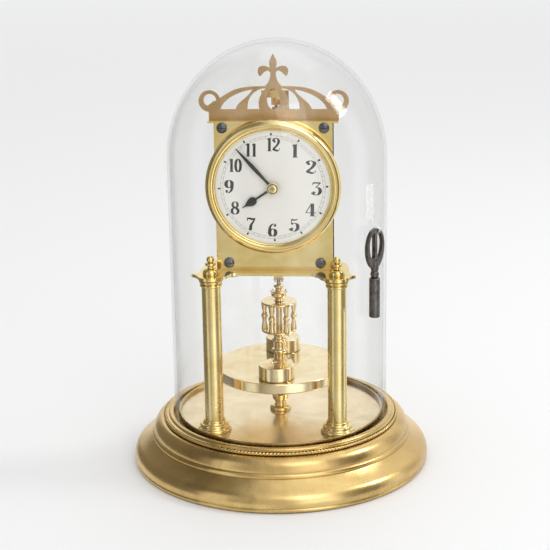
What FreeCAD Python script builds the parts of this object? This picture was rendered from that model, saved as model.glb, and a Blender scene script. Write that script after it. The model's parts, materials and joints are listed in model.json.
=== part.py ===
"""Anniversary clock: a torsion-pendulum clock on a round brass base under a glass dome.

Millimetres. The origin is the centre of the underside of the base, +Z is up and the dial faces -Y.
The pendulum hangs on the Z axis. Each piece is written to its own STEP file in parts/.
"""
import FreeCAD
import Part
import math
import os

Vector = FreeCAD.Vector
UP = Vector(0, 0, 1)
BACK = Vector(0, 1, 0)
RIGHT = Vector(1, 0, 0)

# Base and dome
BASE_R = 102.0
PLATE_TOP = 33.4
PLATE_R = 69.2
PLATE_LEDGE = 31.6
GROOVE_FLOOR = 31.6
GROOVE_OUT = 73.8
LEDGE_R = 62.0
DOME_R = 73.2
GLASS = 2.0
DOME_SPRING_Z = 211.5
DOME_TOP = 290.5

# Columns and platform
COLUMN_X = 41.3
COLUMN_Y = -40.2
SHAFT_R = 6.3
SHAFT_LOW = 41.0
SHAFT_TOP = 134.0
PLATFORM_LOW = 140.0
PLATFORM_TOP = 142.0
TIE_ROD_R = 2.0
THUMB_X = 29.2
THUMB_Y = -20.0

# Movement frame: two plates, four pillars and a roof plate
FRONT_FACE = -29.0
FRONT_INNER = -27.4
BACK_INNER = -9.4
BACK_FACE = -7.8
PLATE_HALF = 38.3
FRAME_TOP = 240.0
ROOF_TOP = 241.2
UPPER_PILLAR = (32.9, 236.9, 3.0)
LOWER_PILLAR = (30.2, 146.9, 4.0)
SCREW_R = 1.4

# Arbor positions on the plates (x, z)
DIAL_Z = 199.0
CENTRE = (0.0, DIAL_Z)
BARREL = (-13.0, 166.0)
SECOND = (7.52, 173.47)
THIRD = (8.54, 188.40)
FOURTH = (-10.2, 210.0)
ESCAPE = (0.0, 221.0)
ANCHOR = (0.0, 233.0)
MINUTE_POST = (0.0, 187.0)
PIVOT_R = 0.6
PIVOT_GAP = 0.05
ARBOR_R = 0.8

# Dial and hands
DIAL_R = 40.1
DIAL_FRONT = -35.0
DIAL_BACK = -33.8
BEZEL_R = 43.3
BEZEL_OPENING = 37.4
BEZEL_FRONT = -38.0
MINUTE_LENGTH = 35.0
HOUR_LENGTH = 24.0
SHOWN_HOUR = 7
SHOWN_MINUTE = 53.0

# Crown above the movement
CROWN_Y = -20.8
CROWN_THICK = 1.6
CROWN_HALF = 42.2
CROWN_BAR_TOP = 246.3
RING_X = 41.6
RING_Z = 252.9
RING_R = 7.0
RING_HOLE_R = 4.1
CROWN_LUG_X = 32.9

# Pendulum
DISC_R = 43.8
DISC_LOW = 60.0
DISC_TOP = 67.0
WEIGHT_Y = 29.5
WEIGHT_R = 12.0
WEIGHT_TOP = 76.5
STEM_TOP = 90.6
GALLERY_TOP = 112.0
GALLERY_R = 12.3
BALUSTER_RING_R = 10.0
BALUSTERS = 6
GALLERY_TURN = 34.0
TUBE_R = 2.1
ROD_R = 1.4
RACK_PITCH = 3.0
CROSS_PIN_R = 0.6
CROSS_PIN_Z = 127.2

# Winding key on the outside of the dome
KEY_AZIMUTH = 58.0
KEY_RADIUS = 77.6
KEY_LOW = 114.3
KEY_PIVOT_Z = 172.4


# ---------------------------------------------------------------- helpers

def outline(start, steps, place):
    """Closed face through points and arcs; a step is (a, b) or a (middle, end) pair of points."""
    edges = []
    here = start
    for step in list(steps) + [start]:
        if isinstance(step[0], tuple):
            middle, end = step
            edges.append(Part.Arc(place(*here), place(*middle), place(*end)).toShape())
        else:
            end = step
            if math.dist(here, end) > 1e-7:
                edges.append(Part.makeLine(place(*here), place(*end)))
        here = end
    return Part.Face(Part.Wire(edges))


def turned_z(x, y, start, *steps):
    """Solid turned about a vertical axis; profile points are (radius, height)."""
    face = outline(start, steps, lambda r, h: Vector(x + r, y, h))
    return face.revolve(Vector(x, y, 0), UP, 360)


def turned_y(centre, start, *steps):
    """Solid turned about an axis along Y; profile points are (radius, y)."""
    x, z = centre
    face = outline(start, steps, lambda r, y: Vector(x + r, y, z))
    return face.revolve(Vector(x, 0, z), BACK, 360)


def cut_from_sheet(y, thick, start, *steps):
    """Sheet lying in the XZ plane from y to y + thick; outline points are (x, z)."""
    return outline(start, steps, lambda x, z: Vector(x, y, z)).extrude(BACK * thick)


def smooth_wire(place, runs):
    """Closed wire; each run is a smooth curve through its points, or a straight line between two."""
    edges = []
    for run in runs:
        points = [place(*p) for p in run]
        if len(points) == 2:
            edges.append(Part.makeLine(*points))
        else:
            curve = Part.BSplineCurve()
            curve.interpolate(points)
            edges.append(curve.toShape())
    return Part.Wire(edges)


def smooth_sheet(place, sweep, *runs):
    return Part.Face(smooth_wire(place, runs)).extrude(sweep)


def mirrored_sheet(place, sweep, *runs):
    """Sheet given by its right half, from one point on x = 0 round to another."""
    left = [[(-x, other) for x, other in reversed(run)] for run in reversed(runs)]
    return smooth_sheet(place, sweep, *runs, *left)


def rod_z(x, y, low, high, radius):
    return Part.makeCylinder(radius, high - low, Vector(x, y, low), UP)


def rod_y(centre, front, back, radius):
    return Part.makeCylinder(radius, back - front, Vector(centre[0], front, centre[1]), BACK)


def box(x0, x1, y0, y1, z0, z1):
    return Part.makeBox(x1 - x0, y1 - y0, z1 - z0, Vector(x0, y0, z0))


def around_z(shape, degrees):
    turned = shape.copy()
    turned.rotate(Vector(0, 0, 0), UP, degrees)
    return turned


def both_sides(shape):
    """The shape and its mirror image in the plane x = 0."""
    return [shape, shape.mirror(Vector(0, 0, 0), RIGHT)]


def on_circle(centre, radius, degrees):
    a = math.radians(degrees)
    return (centre[0] + radius * math.cos(a), centre[1] + radius * math.sin(a))


def direction(start, end):
    """Angle in degrees from one (x, z) point to another."""
    return math.degrees(math.atan2(end[1] - start[1], end[0] - start[0]))


def save(name, *solids):
    shape = solids[0] if len(solids) == 1 else Part.makeCompound(list(solids))
    shape.exportStep("parts/" + name + ".step")


# Tooth shape: addendum and dedendum in modules, half widths as a share of the tooth spacing
WHEEL_TOOTH = (0.95, 1.15, 0.27, 0.215, 0.09)
LEAF_TOOTH = (0.75, 1.30, 0.19, 0.19, 0.10)


def gear_blank(centre, y, width, teeth, module, tooth_at, tooth_shape):
    """Toothed disc with one tooth centred on the direction tooth_at."""
    addendum, dedendum, root_half, pitch_half, tip_half = tooth_shape
    pitch_r = teeth * module / 2
    spacing = 360.0 / teeth
    profile = (
        (pitch_r - dedendum * module, -root_half),
        (pitch_r, -pitch_half),
        (pitch_r + addendum * module, -tip_half),
        (pitch_r + addendum * module, tip_half),
        (pitch_r, pitch_half),
        (pitch_r - dedendum * module, root_half),
    )
    points = []
    for i in range(teeth):
        middle = tooth_at + i * spacing
        for radius, share in profile:
            x, z = on_circle(centre, radius, middle + share * spacing)
            points.append(Vector(x, y, z))
    points.append(points[0])
    return Part.Face(Part.makePolygon(points)).extrude(BACK * width)


def crossings(centre, y, width, inner, outer, count, arm):
    """The windows between the arms of a wheel, as solids to cut away."""
    ring = rod_y(centre, y, y + width, outer).cut(rod_y(centre, y, y + width, inner))
    for i in range(count):
        bar = box(centre[0], centre[0] + outer + 1, y, y + width, centre[1] - arm / 2, centre[1] + arm / 2)
        bar.rotate(Vector(centre[0], y, centre[1]), BACK, i * 360.0 / count)
        ring = ring.cut(bar)
    return ring


def wheel(centre, y, width, teeth, module, tooth_at, bore, arms=5):
    """Brass train wheel with crossed-out arms."""
    rim = teeth * module / 2 - 1.15 * module - 1.1
    blank = gear_blank(centre, y, width, teeth, module, tooth_at, WHEEL_TOOTH)
    blank = blank.cut(rod_y(centre, y, y + width, bore))
    return blank.cut(crossings(centre, y, width, bore + 1.6, rim, arms, 1.3))


def pinion(centre, y, width, leaves, module, toward):
    """Steel pinion with a gap facing the wheel that lies in the direction toward."""
    return gear_blank(centre, y, width, leaves, module, toward + 180.0 / leaves, LEAF_TOOTH)


def pivoted_arbor(centre, radius):
    """Arbor between the plates with a thin pivot in each plate."""
    shaft = rod_y(centre, FRONT_INNER + 0.2, BACK_INNER - 0.2, radius)
    pivots = rod_y(centre, FRONT_FACE + 0.2, BACK_FACE - 0.2, PIVOT_R)
    return shaft.fuse(pivots)


# ---------------------------------------------------------------- base

def base_moulding():
    """Spun brass base: torus, lip, ovolo, then a groove for the dome and a ledge for the plate."""
    return turned_z(
        0, 0, (97.5, 0), (100.5, 0), ((101.6, 1.2), (101.2, 3.0)), (BASE_R - 0.4, 3.4),
        ((101.3, 8.6), (97.4, 12.9)), ((93.2, 15.5), (89.3, 18.6)), ((89.5, 20.5), (87.9, 22.0)),
        ((87.0, 26.6), (82.4, 30.8)), (79.8, 31.2), ((78.5, 32.4), (79.3, 33.6)), (77.6, 33.8),
        ((77.0, 34.7), (75.6, 35.0)), ((74.2, 34.7), (GROOVE_OUT, 34.0)), (GROOVE_OUT, GROOVE_FLOOR),
        (70.8, GROOVE_FLOOR), (70.8, 35.4), ((70.1, 36.0), (69.3, 35.4)), (69.3, PLATE_LEDGE),
        (LEDGE_R, PLATE_LEDGE), (LEDGE_R, 29.4), (80.0, 29.0),
        ((84.4, 25.6), (85.4, 21.0)), (85.8, 18.0), ((89.0, 14.2), (93.0, 12.4)), ((97.6, 9.4), (99.0, 4.0)),
        (97.5, 3.0))


def rope_ring():
    """Milled ring that lies in the neck above the ovolo."""
    return turned_z(0, 0, (79.95, 31.35), ((81.3, 32.4), (79.95, 33.45)), ((79.3, 32.9), (79.1, 32.4)),
                    ((79.3, 31.9), (79.95, 31.35)))


def base_top_plate():
    plate = rod_z(0, 0, PLATE_LEDGE, PLATE_TOP, PLATE_R)
    plate = plate.cut(rod_z(0, 0, PLATE_LEDGE, PLATE_TOP, 2.1))
    for side in (-1, 1):
        plate = plate.cut(rod_z(side * COLUMN_X, COLUMN_Y, PLATE_LEDGE, PLATE_TOP, TIE_ROD_R + 0.1))
    return plate


def pendulum_cup():
    """Turned cup on the plate that keeps the pin under the pendulum from swinging out."""
    return turned_z(
        0, 0, (0, PLATE_TOP - 1.8), (2.05, PLATE_TOP - 1.8), (2.05, PLATE_TOP), (7.0, PLATE_TOP),
        ((7.0, 35.4), (4.2, 36.4)), ((3.6, 39.0), (5.2, 41.0)), (5.8, 44.6), (4.6, 44.6), (4.0, 39.4),
        (0, 39.4))


def column_profiles():
    """Foot, shaft and capital of the right-hand column, each bored for the tie rod."""
    bore = TIE_ROD_R + 0.1
    foot = turned_z(
        COLUMN_X, COLUMN_Y, (bore, PLATE_TOP), (10.9, PLATE_TOP), ((11.3, 34.6), (10.6, 35.6)),
        ((9.8, 36.0), (9.4, 36.6)), ((9.9, 37.5), (9.3, 38.4)), ((7.9, 38.8), (7.3, 39.8)),
        ((7.4, 40.6), (6.9, SHAFT_LOW)), (bore, SHAFT_LOW))
    shaft = turned_z(
        COLUMN_X, COLUMN_Y, (bore, SHAFT_LOW), (SHAFT_R, SHAFT_LOW), (SHAFT_R, SHAFT_TOP), (bore, SHAFT_TOP))
    capital = turned_z(
        COLUMN_X, COLUMN_Y, (bore, SHAFT_TOP), (6.7, SHAFT_TOP), ((7.5, 134.9), (6.7, 135.8)),
        (6.4, 136.4), ((7.9, 137.5), (6.8, 138.7)), (6.6, 139.2), (7.1, 139.5), (7.1, PLATFORM_LOW),
        (bore, PLATFORM_LOW))
    return foot, shaft, capital


def finial():
    """Ball finial screwed on the top end of a tie rod."""
    low = PLATFORM_TOP
    return turned_z(
        COLUMN_X, COLUMN_Y, (TIE_ROD_R + 0.05, low), (5.1, low), ((4.8, low + 2.6), (2.7, low + 4.0)),
        ((1.9, low + 5.0), (2.2, low + 6.0)), ((3.6, low + 6.9), (2.2, low + 7.8)), (1.62, low + 8.0),
        ((2.6, low + 9.9), (0.5, low + 12.3)), (0, low + 12.3), (0, low + 3.4), (TIE_ROD_R + 0.05, low + 3.2))


def tie_rod():
    return rod_z(COLUMN_X, COLUMN_Y, 26.0, PLATFORM_TOP + 2.8, TIE_ROD_R)


def tie_rod_nut():
    """Round-cornered hexagon nut under the base plate."""
    points = [Vector(COLUMN_X + 3.7 * math.cos(math.radians(60 * i)),
                     COLUMN_Y + 3.7 * math.sin(math.radians(60 * i)), PLATE_LEDGE - 3.0) for i in range(7)]
    nut = Part.Face(Part.makePolygon(points)).extrude(UP * 3.0)
    return nut.cut(rod_z(COLUMN_X, COLUMN_Y, PLATE_LEDGE - 3.0, PLATE_LEDGE, TIE_ROD_R + 0.05))


# ---------------------------------------------------------------- platform and movement frame

def platform():
    """Shaped platform: pointed tips outside the columns, lobes round them, a recessed front edge."""
    front = [(0.0, -37.0), (24.6, -37.0)]
    lobe = [(24.6, -37.0), (28.2, -38.7), (30.2, -43.0), (33.8, -48.4), (41.3, -52.0), (47.8, -48.6),
            (50.4, -43.6), (54.5, -40.2)]
    flank = [(54.5, -40.2), (50.4, -37.4), (49.2, -32.0), (48.2, -20.0), (44.6, -9.4), (40.0, -4.4)]
    rear = [(40.0, -4.4), (0.0, -4.4)]
    sheet = mirrored_sheet(lambda x, y: Vector(x, y, PLATFORM_LOW), UP * (PLATFORM_TOP - PLATFORM_LOW),
                           front, lobe, flank, rear)
    for side in (-1, 1):
        sheet = sheet.cut(rod_z(side * COLUMN_X, COLUMN_Y, PLATFORM_LOW, PLATFORM_TOP, TIE_ROD_R + 0.1))
        sheet = sheet.cut(rod_z(side * THUMB_X, THUMB_Y, PLATFORM_LOW, PLATFORM_TOP, 1.6))
    return sheet


def thumb_screw():
    """Knurled-head screw that holds the movement down on the platform."""
    head = turned_z(THUMB_X, THUMB_Y, (0, 135.3), (3.6, 135.3), ((4.8, 135.7), (5.0, 136.4)), (5.0, 139.0),
                    ((4.8, 139.7), (4.2, PLATFORM_LOW)), (0, PLATFORM_LOW))
    for i in range(20):
        x, y = on_circle((THUMB_X, THUMB_Y), 5.1, i * 18.0)
        head = head.cut(rod_z(x, y, 136.2, 139.2, 0.35))
    return head.fuse(rod_z(THUMB_X, THUMB_Y, PLATFORM_LOW, 145.8, 1.5))


def pillar_places():
    """(x, z, radius) of the four pillars."""
    return [(side * x, z, r) for x, z, r in (UPPER_PILLAR, LOWER_PILLAR) for side in (-1, 1)]


def plate_holes(front, back):
    """Everything that passes through one movement plate, as solids to cut away."""
    holes = [rod_y((x, z), front, back, SCREW_R + 0.1) for x, z, r in pillar_places()]
    holes += [rod_y(place, front, back, PIVOT_R + PIVOT_GAP)
              for place in (SECOND, THIRD, FOURTH, ESCAPE, ANCHOR)]
    return holes


def front_plate():
    plate = box(-PLATE_HALF, PLATE_HALF, FRONT_FACE, FRONT_INNER, PLATFORM_TOP, FRAME_TOP)
    holes = plate_holes(FRONT_FACE, FRONT_INNER)
    holes += [rod_y(BARREL, FRONT_FACE, FRONT_INNER, 2.05), rod_y(CENTRE, FRONT_FACE, FRONT_INNER, 1.26)]
    holes += [rod_y(MINUTE_POST, FRONT_FACE, FRONT_INNER, 1.0)]
    holes += [rod_y(foot, FRONT_FACE, FRONT_INNER, 0.85) for foot in dial_feet()]
    return plate.cut(holes)


def back_plate():
    plate = box(-PLATE_HALF, PLATE_HALF, BACK_INNER, BACK_FACE, PLATFORM_TOP, FRAME_TOP)
    holes = plate_holes(BACK_INNER, BACK_FACE)
    holes += [rod_y(BARREL, BACK_INNER, BACK_FACE, 2.55), rod_y(CENTRE, BACK_INNER, BACK_FACE, 0.85)]
    holes += [rod_y(place, BACK_INNER, BACK_FACE, 1.05) for place in back_screw_places()]
    return plate.cut(holes)


def movement_pillar(x, z, radius):
    """Turned pillar with a screw hole in each end; the lower ones also take a thumb screw."""
    middle = (FRONT_INNER + BACK_INNER) / 2
    pillar = turned_y(
        (x, z), (0, FRONT_INNER), (radius, FRONT_INNER), (radius, FRONT_INNER + 2.4),
        ((radius - 0.8, FRONT_INNER + 3.0), (radius - 0.8, FRONT_INNER + 3.6)),
        ((radius - 0.1, middle), (radius - 0.8, BACK_INNER - 3.6)),
        ((radius - 0.8, BACK_INNER - 3.0), (radius, BACK_INNER - 2.4)), (radius, BACK_INNER), (0, BACK_INNER))
    pillar = pillar.cut(rod_y((x, z), FRONT_INNER, FRONT_INNER + 4.4, SCREW_R + 0.02))
    pillar = pillar.cut(rod_y((x, z), BACK_INNER - 4.4, BACK_INNER, SCREW_R + 0.02))
    side = math.copysign(1, x)
    if z < DIAL_Z:
        return pillar.cut(rod_z(side * THUMB_X, THUMB_Y, z - radius, 146.2, 1.52))
    return pillar.cut(rod_z(side * CROWN_LUG_X, CROWN_Y + 5.0, z, z + radius, 1.02))


def plate_screw(x, z, outer_face, inward):
    """Slotted domed screw; inward is +1 from the front plate and -1 from the back plate."""
    def y(depth):
        return outer_face + inward * depth
    screw = turned_y(
        (x, z), (0, y(-2.2)), ((2.2, y(-1.95)), (3.4, y(-1.2))), (3.5, y(0)), (SCREW_R, y(0)),
        (SCREW_R, y(5.6)), (0, y(5.6)))
    low, high = sorted((y(-2.3), y(-1.3)))
    return screw.cut(box(x - 4, x + 4, low, high, z - 0.35, z + 0.35))


def roof_plate():
    """Thin plate across the top of the movement, notched for the anchor pin and the fork."""
    plate = box(-CROWN_HALF, CROWN_HALF, FRONT_FACE, BACK_FACE, FRAME_TOP, ROOF_TOP)
    plate = plate.cut(box(-4.0, 4.0, -14.5, BACK_FACE, FRAME_TOP, ROOF_TOP))
    for side in (-1, 1):
        plate = plate.cut(rod_z(side * CROWN_LUG_X, CROWN_Y + 5.0, FRAME_TOP, ROOF_TOP, 1.1))
    return plate


def back_screw_places():
    """Holes in the back plate: bracket screws, click pivot and click spring."""
    return [(-10.0, 221.0), (10.0, 221.0), CLICK_PIVOT, CLICK_SPRING_SCREW]


# ---------------------------------------------------------------- crown

def crown():
    """Fret-cut crown: bar, scrolled end rings, a pierced arch with five openings and a fleur-de-lis."""
    def place(x, z):
        return Vector(x, CROWN_Y, z)
    sweep = BACK * CROWN_THICK
    low = ROOF_TOP
    arch = mirrored_sheet(
        place, sweep, [(0.0, low), (CROWN_HALF, low)], [(CROWN_HALF, low), (CROWN_HALF, CROWN_BAR_TOP)],
        [(CROWN_HALF, CROWN_BAR_TOP), (41.0, 249.2), (38.0, 252.6)],
        [(38.0, 252.6), (32.4, 256.4), (25.5, 260.1), (17.2, 262.0), (5.4, 262.5)],
        [(5.4, 262.5), (3.2, 265.2), (1.9, 268.6), (1.8, 271.2)],
        [(1.8, 271.2), (3.5, 272.5), (5.6, 271.6), (7.0, 270.2), (8.4, 268.9)],
        [(8.4, 268.9), (9.8, 271.8), (9.0, 274.6), (6.0, 275.6), (3.2, 274.9), (1.6, 274.4)],
        [(1.6, 274.4), (2.4, 277.8), (1.5, 280.6), (0.0, 283.5)])
    outer = smooth_sheet(
        place, sweep, [(34.6, 247.6), (32.2, 251.6), (27.4, 255.6), (20.7, 258.7), (13.6, 260.4)],
        [(13.6, 260.4), (16.6, 256.5), (20.2, 253.4), (23.4, 250.2), (24.6, 247.6)],
        [(24.6, 247.6), (34.6, 247.6)])
    inner = smooth_sheet(
        place, sweep,
        [(16.9, 247.6), (16.5, 251.7), (15.2, 255.1), (12.4, 258.4), (9.0, 260.4), (5.0, 261.2)],
        [(5.0, 261.2), (7.4, 257.9), (9.0, 254.8), (9.6, 251.0), (9.1, 247.6)], [(9.1, 247.6), (16.9, 247.6)])
    centre = mirrored_sheet(
        place, sweep, [(0.0, 247.3), (2.6, 248.5), (4.1, 252.0), (3.9, 256.4), (2.4, 260.0), (0.0, 261.4)])
    sheet = arch.cut([*both_sides(outer), *both_sides(inner), centre])
    back = CROWN_Y + CROWN_THICK
    ring = rod_y((RING_X, RING_Z), CROWN_Y, back, RING_R)
    ring = ring.cut(rod_y((RING_X - 0.3, RING_Z + 0.6), CROWN_Y, back, RING_HOLE_R))
    arm = smooth_sheet(place, sweep, [(38.4, 253.2), (43.2, 249.6)], [(43.2, 249.6), (40.6, 246.6)],
                       [(40.6, 246.6), (35.0, 250.6)], [(35.0, 250.6), (38.4, 253.2)])
    lug = box(CROWN_LUG_X - 2.4, CROWN_LUG_X + 2.4, back, CROWN_Y + 7.4, low, low + 1.2)
    lug = lug.cut(rod_z(CROWN_LUG_X, CROWN_Y + 5.0, low, low + 1.2, 1.1))
    for piece in (ring, arm, lug):
        sheet = sheet.fuse(both_sides(piece))
    return sheet.removeSplitter()


# ---------------------------------------------------------------- dial and hands

def dial_feet():
    return [on_circle(CENTRE, 30.0, a) for a in (60, 180, 300)]


def dial():
    """Slightly domed enamel dial with three feet behind it."""
    plate = turned_y(
        CENTRE, (3.2, DIAL_BACK), (3.2, DIAL_FRONT - 0.5), ((22.0, DIAL_FRONT - 0.35), (37.0, DIAL_FRONT)),
        (DIAL_R, DIAL_FRONT), (DIAL_R, DIAL_BACK))
    return plate.fuse([rod_y(foot, DIAL_BACK, FRONT_INNER, 0.8) for foot in dial_feet()])


def bezel():
    """Heavy turned ring with a stepped inner edge and a rebate for the dial."""
    f = BEZEL_FRONT
    return turned_y(
        CENTRE, (41.4, FRONT_FACE), (BEZEL_R - 0.5, FRONT_FACE), (BEZEL_R - 0.5, -31.4), (BEZEL_R, -31.8),
        ((BEZEL_R, f + 1.2), (41.8, f)), (40.9, f), (40.7, f + 0.5), ((39.4, f + 0.55), (38.5, f + 1.5)),
        (38.2, f + 1.3), ((37.6, f + 1.7), (BEZEL_OPENING, f + 2.5)), (BEZEL_OPENING, DIAL_FRONT),
        (DIAL_R + 0.1, DIAL_FRONT), (DIAL_R + 0.1, DIAL_BACK), (41.4, DIAL_BACK))


def hand_place(clockwise, y):
    """Maps (across, along) to the dial plane for a hand that points clockwise degrees from twelve."""
    a = math.radians(clockwise)

    def place(across, along):
        return Vector(along * math.sin(a) + across * math.cos(a), y,
                      DIAL_Z + along * math.cos(a) - across * math.sin(a))
    return place


def minute_hand():
    place = hand_place(SHOWN_MINUTE * 6.0, -37.9)
    blade = mirrored_sheet(
        place, BACK * 0.5, [(0.0, 1.0), (1.2, 1.0)],
        [(1.2, 1.0), (0.85, 8.0), (1.25, 17.0), (1.0, 25.0), (0.25, MINUTE_LENGTH)],
        [(0.25, MINUTE_LENGTH), (0.0, MINUTE_LENGTH)])
    boss = rod_y(CENTRE, -37.9, -37.4, 3.0)
    return blade.fuse(boss).cut(rod_y(CENTRE, -38.0, -37.0, 1.25)).removeSplitter()


def hour_hand():
    place = hand_place((SHOWN_HOUR + SHOWN_MINUTE / 60.0) * 30.0, -36.7)
    blade = mirrored_sheet(
        place, BACK * 0.5, [(0.0, 1.0), (0.8, 1.0)], [(0.8, 1.0), (0.62, 13.2)],
        [(0.62, 13.2), (2.4, 14.6), (2.7, 16.8), (1.6, 19.6), (0.55, 21.4)],
        [(0.55, 21.4), (0.18, HOUR_LENGTH)], [(0.18, HOUR_LENGTH), (0.0, HOUR_LENGTH)])
    boss = rod_y(CENTRE, -36.7, -36.2, 3.4)
    return blade.fuse(boss).cut(rod_y(CENTRE, -37.0, -36.0, 2.65)).removeSplitter()


def hand_collet():
    """Domed collet that presses the minute hand on, with a hole for the end of the centre arbor."""
    return turned_y(CENTRE, (1.25, -38.0), (3.9, -38.0), ((3.7, -39.0), (2.6, -39.4)),
                    ((2.0, -39.9), (1.25, -40.0)))


# ---------------------------------------------------------------- motion work in front of the plate

def cannon_pinion():
    leaves = pinion(CENTRE, -30.6, 1.2, 12, 0.5, direction(CENTRE, MINUTE_POST))
    pipe = rod_y(CENTRE, -37.35, -29.2, 1.7)
    return leaves.fuse(pipe).cut(rod_y(CENTRE, -38.0, -29.0, 1.25))


def minute_wheel():
    disc = wheel(MINUTE_POST, -30.6, 1.2, 36, 0.5, direction(MINUTE_POST, CENTRE), 1.06, 4)
    small = gear_blank(MINUTE_POST, -32.9, 2.3, 12, 0.4, direction(MINUTE_POST, CENTRE) + 15.0, LEAF_TOOTH)
    return disc.fuse(small.cut(rod_y(MINUTE_POST, -33.0, -30.0, 1.06)))


def minute_wheel_post():
    return rod_y(MINUTE_POST, -33.4, FRONT_INNER, 1.0).fuse(rod_y(MINUTE_POST, -33.5, -33.0, 1.6))


def hour_wheel():
    disc = wheel(CENTRE, -32.8, 1.0, 48, 0.4, direction(CENTRE, MINUTE_POST), 2.6, 4)
    pipe = rod_y(CENTRE, -36.9, -31.2, 2.6).cut(rod_y(CENTRE, -37.0, -31.0, 1.76))
    return disc.fuse(pipe)


# ---------------------------------------------------------------- going train

def barrel():
    """Barrel drum with the great wheel as its rear wall."""
    drum = rod_y(BARREL, -26.6, -15.6, 18.5).cut(rod_y(BARREL, -26.6, -15.6, 17.4))
    great = gear_blank(BARREL, -15.6, 1.4, 96, 0.42, direction(BARREL, SECOND), WHEEL_TOOTH)
    hook = box(BARREL[0] + 16.5, BARREL[0] + 17.6, -22.5, -19.5, BARREL[1] - 0.7, BARREL[1] + 0.7)
    return drum.fuse([great, hook]).cut(rod_y(BARREL, -16.0, -14.0, 3.06)).removeSplitter()


def barrel_cap():
    return rod_y(BARREL, -26.6, -25.7, 17.35).cut(rod_y(BARREL, -27.0, -25.0, 3.06))


def mainspring():
    """Coiled strip, wound close to the barrel wall."""
    inner, outer, turns, strip = 3.6, 15.9, 9, 0.5

    def spiral(offset):
        steps = turns * 12
        return [on_circle(BARREL, inner + offset + (outer - inner) * i / steps, 30.0 * i)
                for i in range(steps + 1)]
    inside = spiral(0.0)
    outside = spiral(strip)
    return smooth_sheet(lambda x, z: Vector(x, -25.2, z), BACK * 9.2, inside, [inside[-1], outside[-1]],
                        outside[::-1], [outside[0], inside[0]])


def winding_arbor():
    """Barrel arbor with a winding square behind the back plate."""
    shaft = rod_y(BARREL, FRONT_INNER + 0.2, BACK_INNER - 0.3, 3.0)
    parts = [rod_y(BARREL, FRONT_FACE + 0.2, FRONT_INNER + 0.2, 2.0)]
    parts.append(rod_y(BARREL, BACK_INNER - 0.3, -5.6, 2.5))
    square = box(BARREL[0] - 1.7, BARREL[0] + 1.7, -5.6, 5.4, BARREL[1] - 1.7, BARREL[1] + 1.7)
    return shaft.fuse(parts + [square])


RATCHET_R = 7.5
RATCHET_TEETH = 24
CLICK_PIVOT = (-23.5, 172.5)
CLICK_SPRING_SCREW = (-31.5, 180.5)
CLICK_TIP_AT = 115.0


def ratchet_wheel():
    points = []
    for i in range(RATCHET_TEETH):
        a = i * 360.0 / RATCHET_TEETH
        points += [on_circle(BARREL, RATCHET_R, a), on_circle(BARREL, RATCHET_R - 1.3, a + 2.0)]
    lines = [Vector(x, -7.5, z) for x, z in points + points[:1]]
    blank = Part.Face(Part.makePolygon(lines)).extrude(BACK * 1.6)
    return blank.cut(rod_y(BARREL, -8.0, -5.0, 2.52))


def tapered_lever(y, thick, start, start_r, end, end_r):
    """Flat lever with round ends, wider at one end."""
    a = math.radians(direction(start, end))
    side = (-math.sin(a), math.cos(a))

    def edge(centre, radius, sign):
        return (centre[0] + sign * radius * side[0], centre[1] + sign * radius * side[1])

    def nose(centre, radius, sign):
        return (centre[0] + sign * radius * math.cos(a), centre[1] + sign * radius * math.sin(a))
    return cut_from_sheet(
        y, thick, edge(start, start_r, 1), (nose(start, start_r, -1), edge(start, start_r, -1)),
        edge(end, end_r, -1), (nose(end, end_r, 1), edge(end, end_r, 1)))


def click():
    """Pawl beside the ratchet wheel; its nose stands a hair clear of the teeth."""
    tip = on_circle(BARREL, RATCHET_R + 0.45, CLICK_TIP_AT)
    lever = tapered_lever(-7.4, 1.4, CLICK_PIVOT, 2.3, tip, 0.35)
    return lever.cut(rod_y(CLICK_PIVOT, -8.0, -5.0, 1.06))


def click_spring():
    """Leaf that arches over the click from its own screw."""
    foot = rod_y(CLICK_SPRING_SCREW, -7.6, -6.6, 2.2)
    x, z = CLICK_SPRING_SCREW
    leaf = smooth_sheet(
        lambda a, b: Vector(a, -7.6, b), BACK * 1.0, [(x + 1.4, z + 1.0), (x + 7.0, z - 0.6), (-17.0, 174.9)],
        [(-17.0, 174.9), (-16.8, 175.3)], [(-16.8, 175.3), (x + 7.4, z + 0.2), (x + 1.6, z + 1.6)],
        [(x + 1.6, z + 1.6), (x + 1.4, z + 1.0)])
    return foot.fuse(leaf).cut(rod_y(CLICK_SPRING_SCREW, -8.0, -5.0, 1.05)).removeSplitter()


def train_wheel(place, drives, driver, wheel_spec, pinion_spec):
    """Wheel and pinion on one arbor; a spec is (y, width, teeth, module)."""
    wheel_y, wheel_width, teeth, module = wheel_spec
    disc = wheel(place, wheel_y, wheel_width, teeth, module, direction(place, drives), ARBOR_R + 0.01)
    arbor = pivoted_arbor(place, ARBOR_R)
    return disc.cut(arbor), arbor.fuse(pinion(place, *pinion_spec, direction(place, driver)))


def centre_arbor():
    shaft = rod_y(CENTRE, -40.4, -26.8, 1.2)
    shaft = shaft.fuse([rod_y(CENTRE, -26.8, -14.0, 1.3), rod_y(CENTRE, -14.0, BACK_FACE - 0.1, ARBOR_R)])
    return shaft.fuse(pinion(CENTRE, -11.6, 1.6, 8, 0.34, direction(CENTRE, THIRD)))


def centre_wheel():
    return wheel(CENTRE, -25.0, 1.0, 48, 0.5, direction(CENTRE, FOURTH), 1.32)


ESCAPE_TEETH = 15
ESCAPE_R = 8.5


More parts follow.
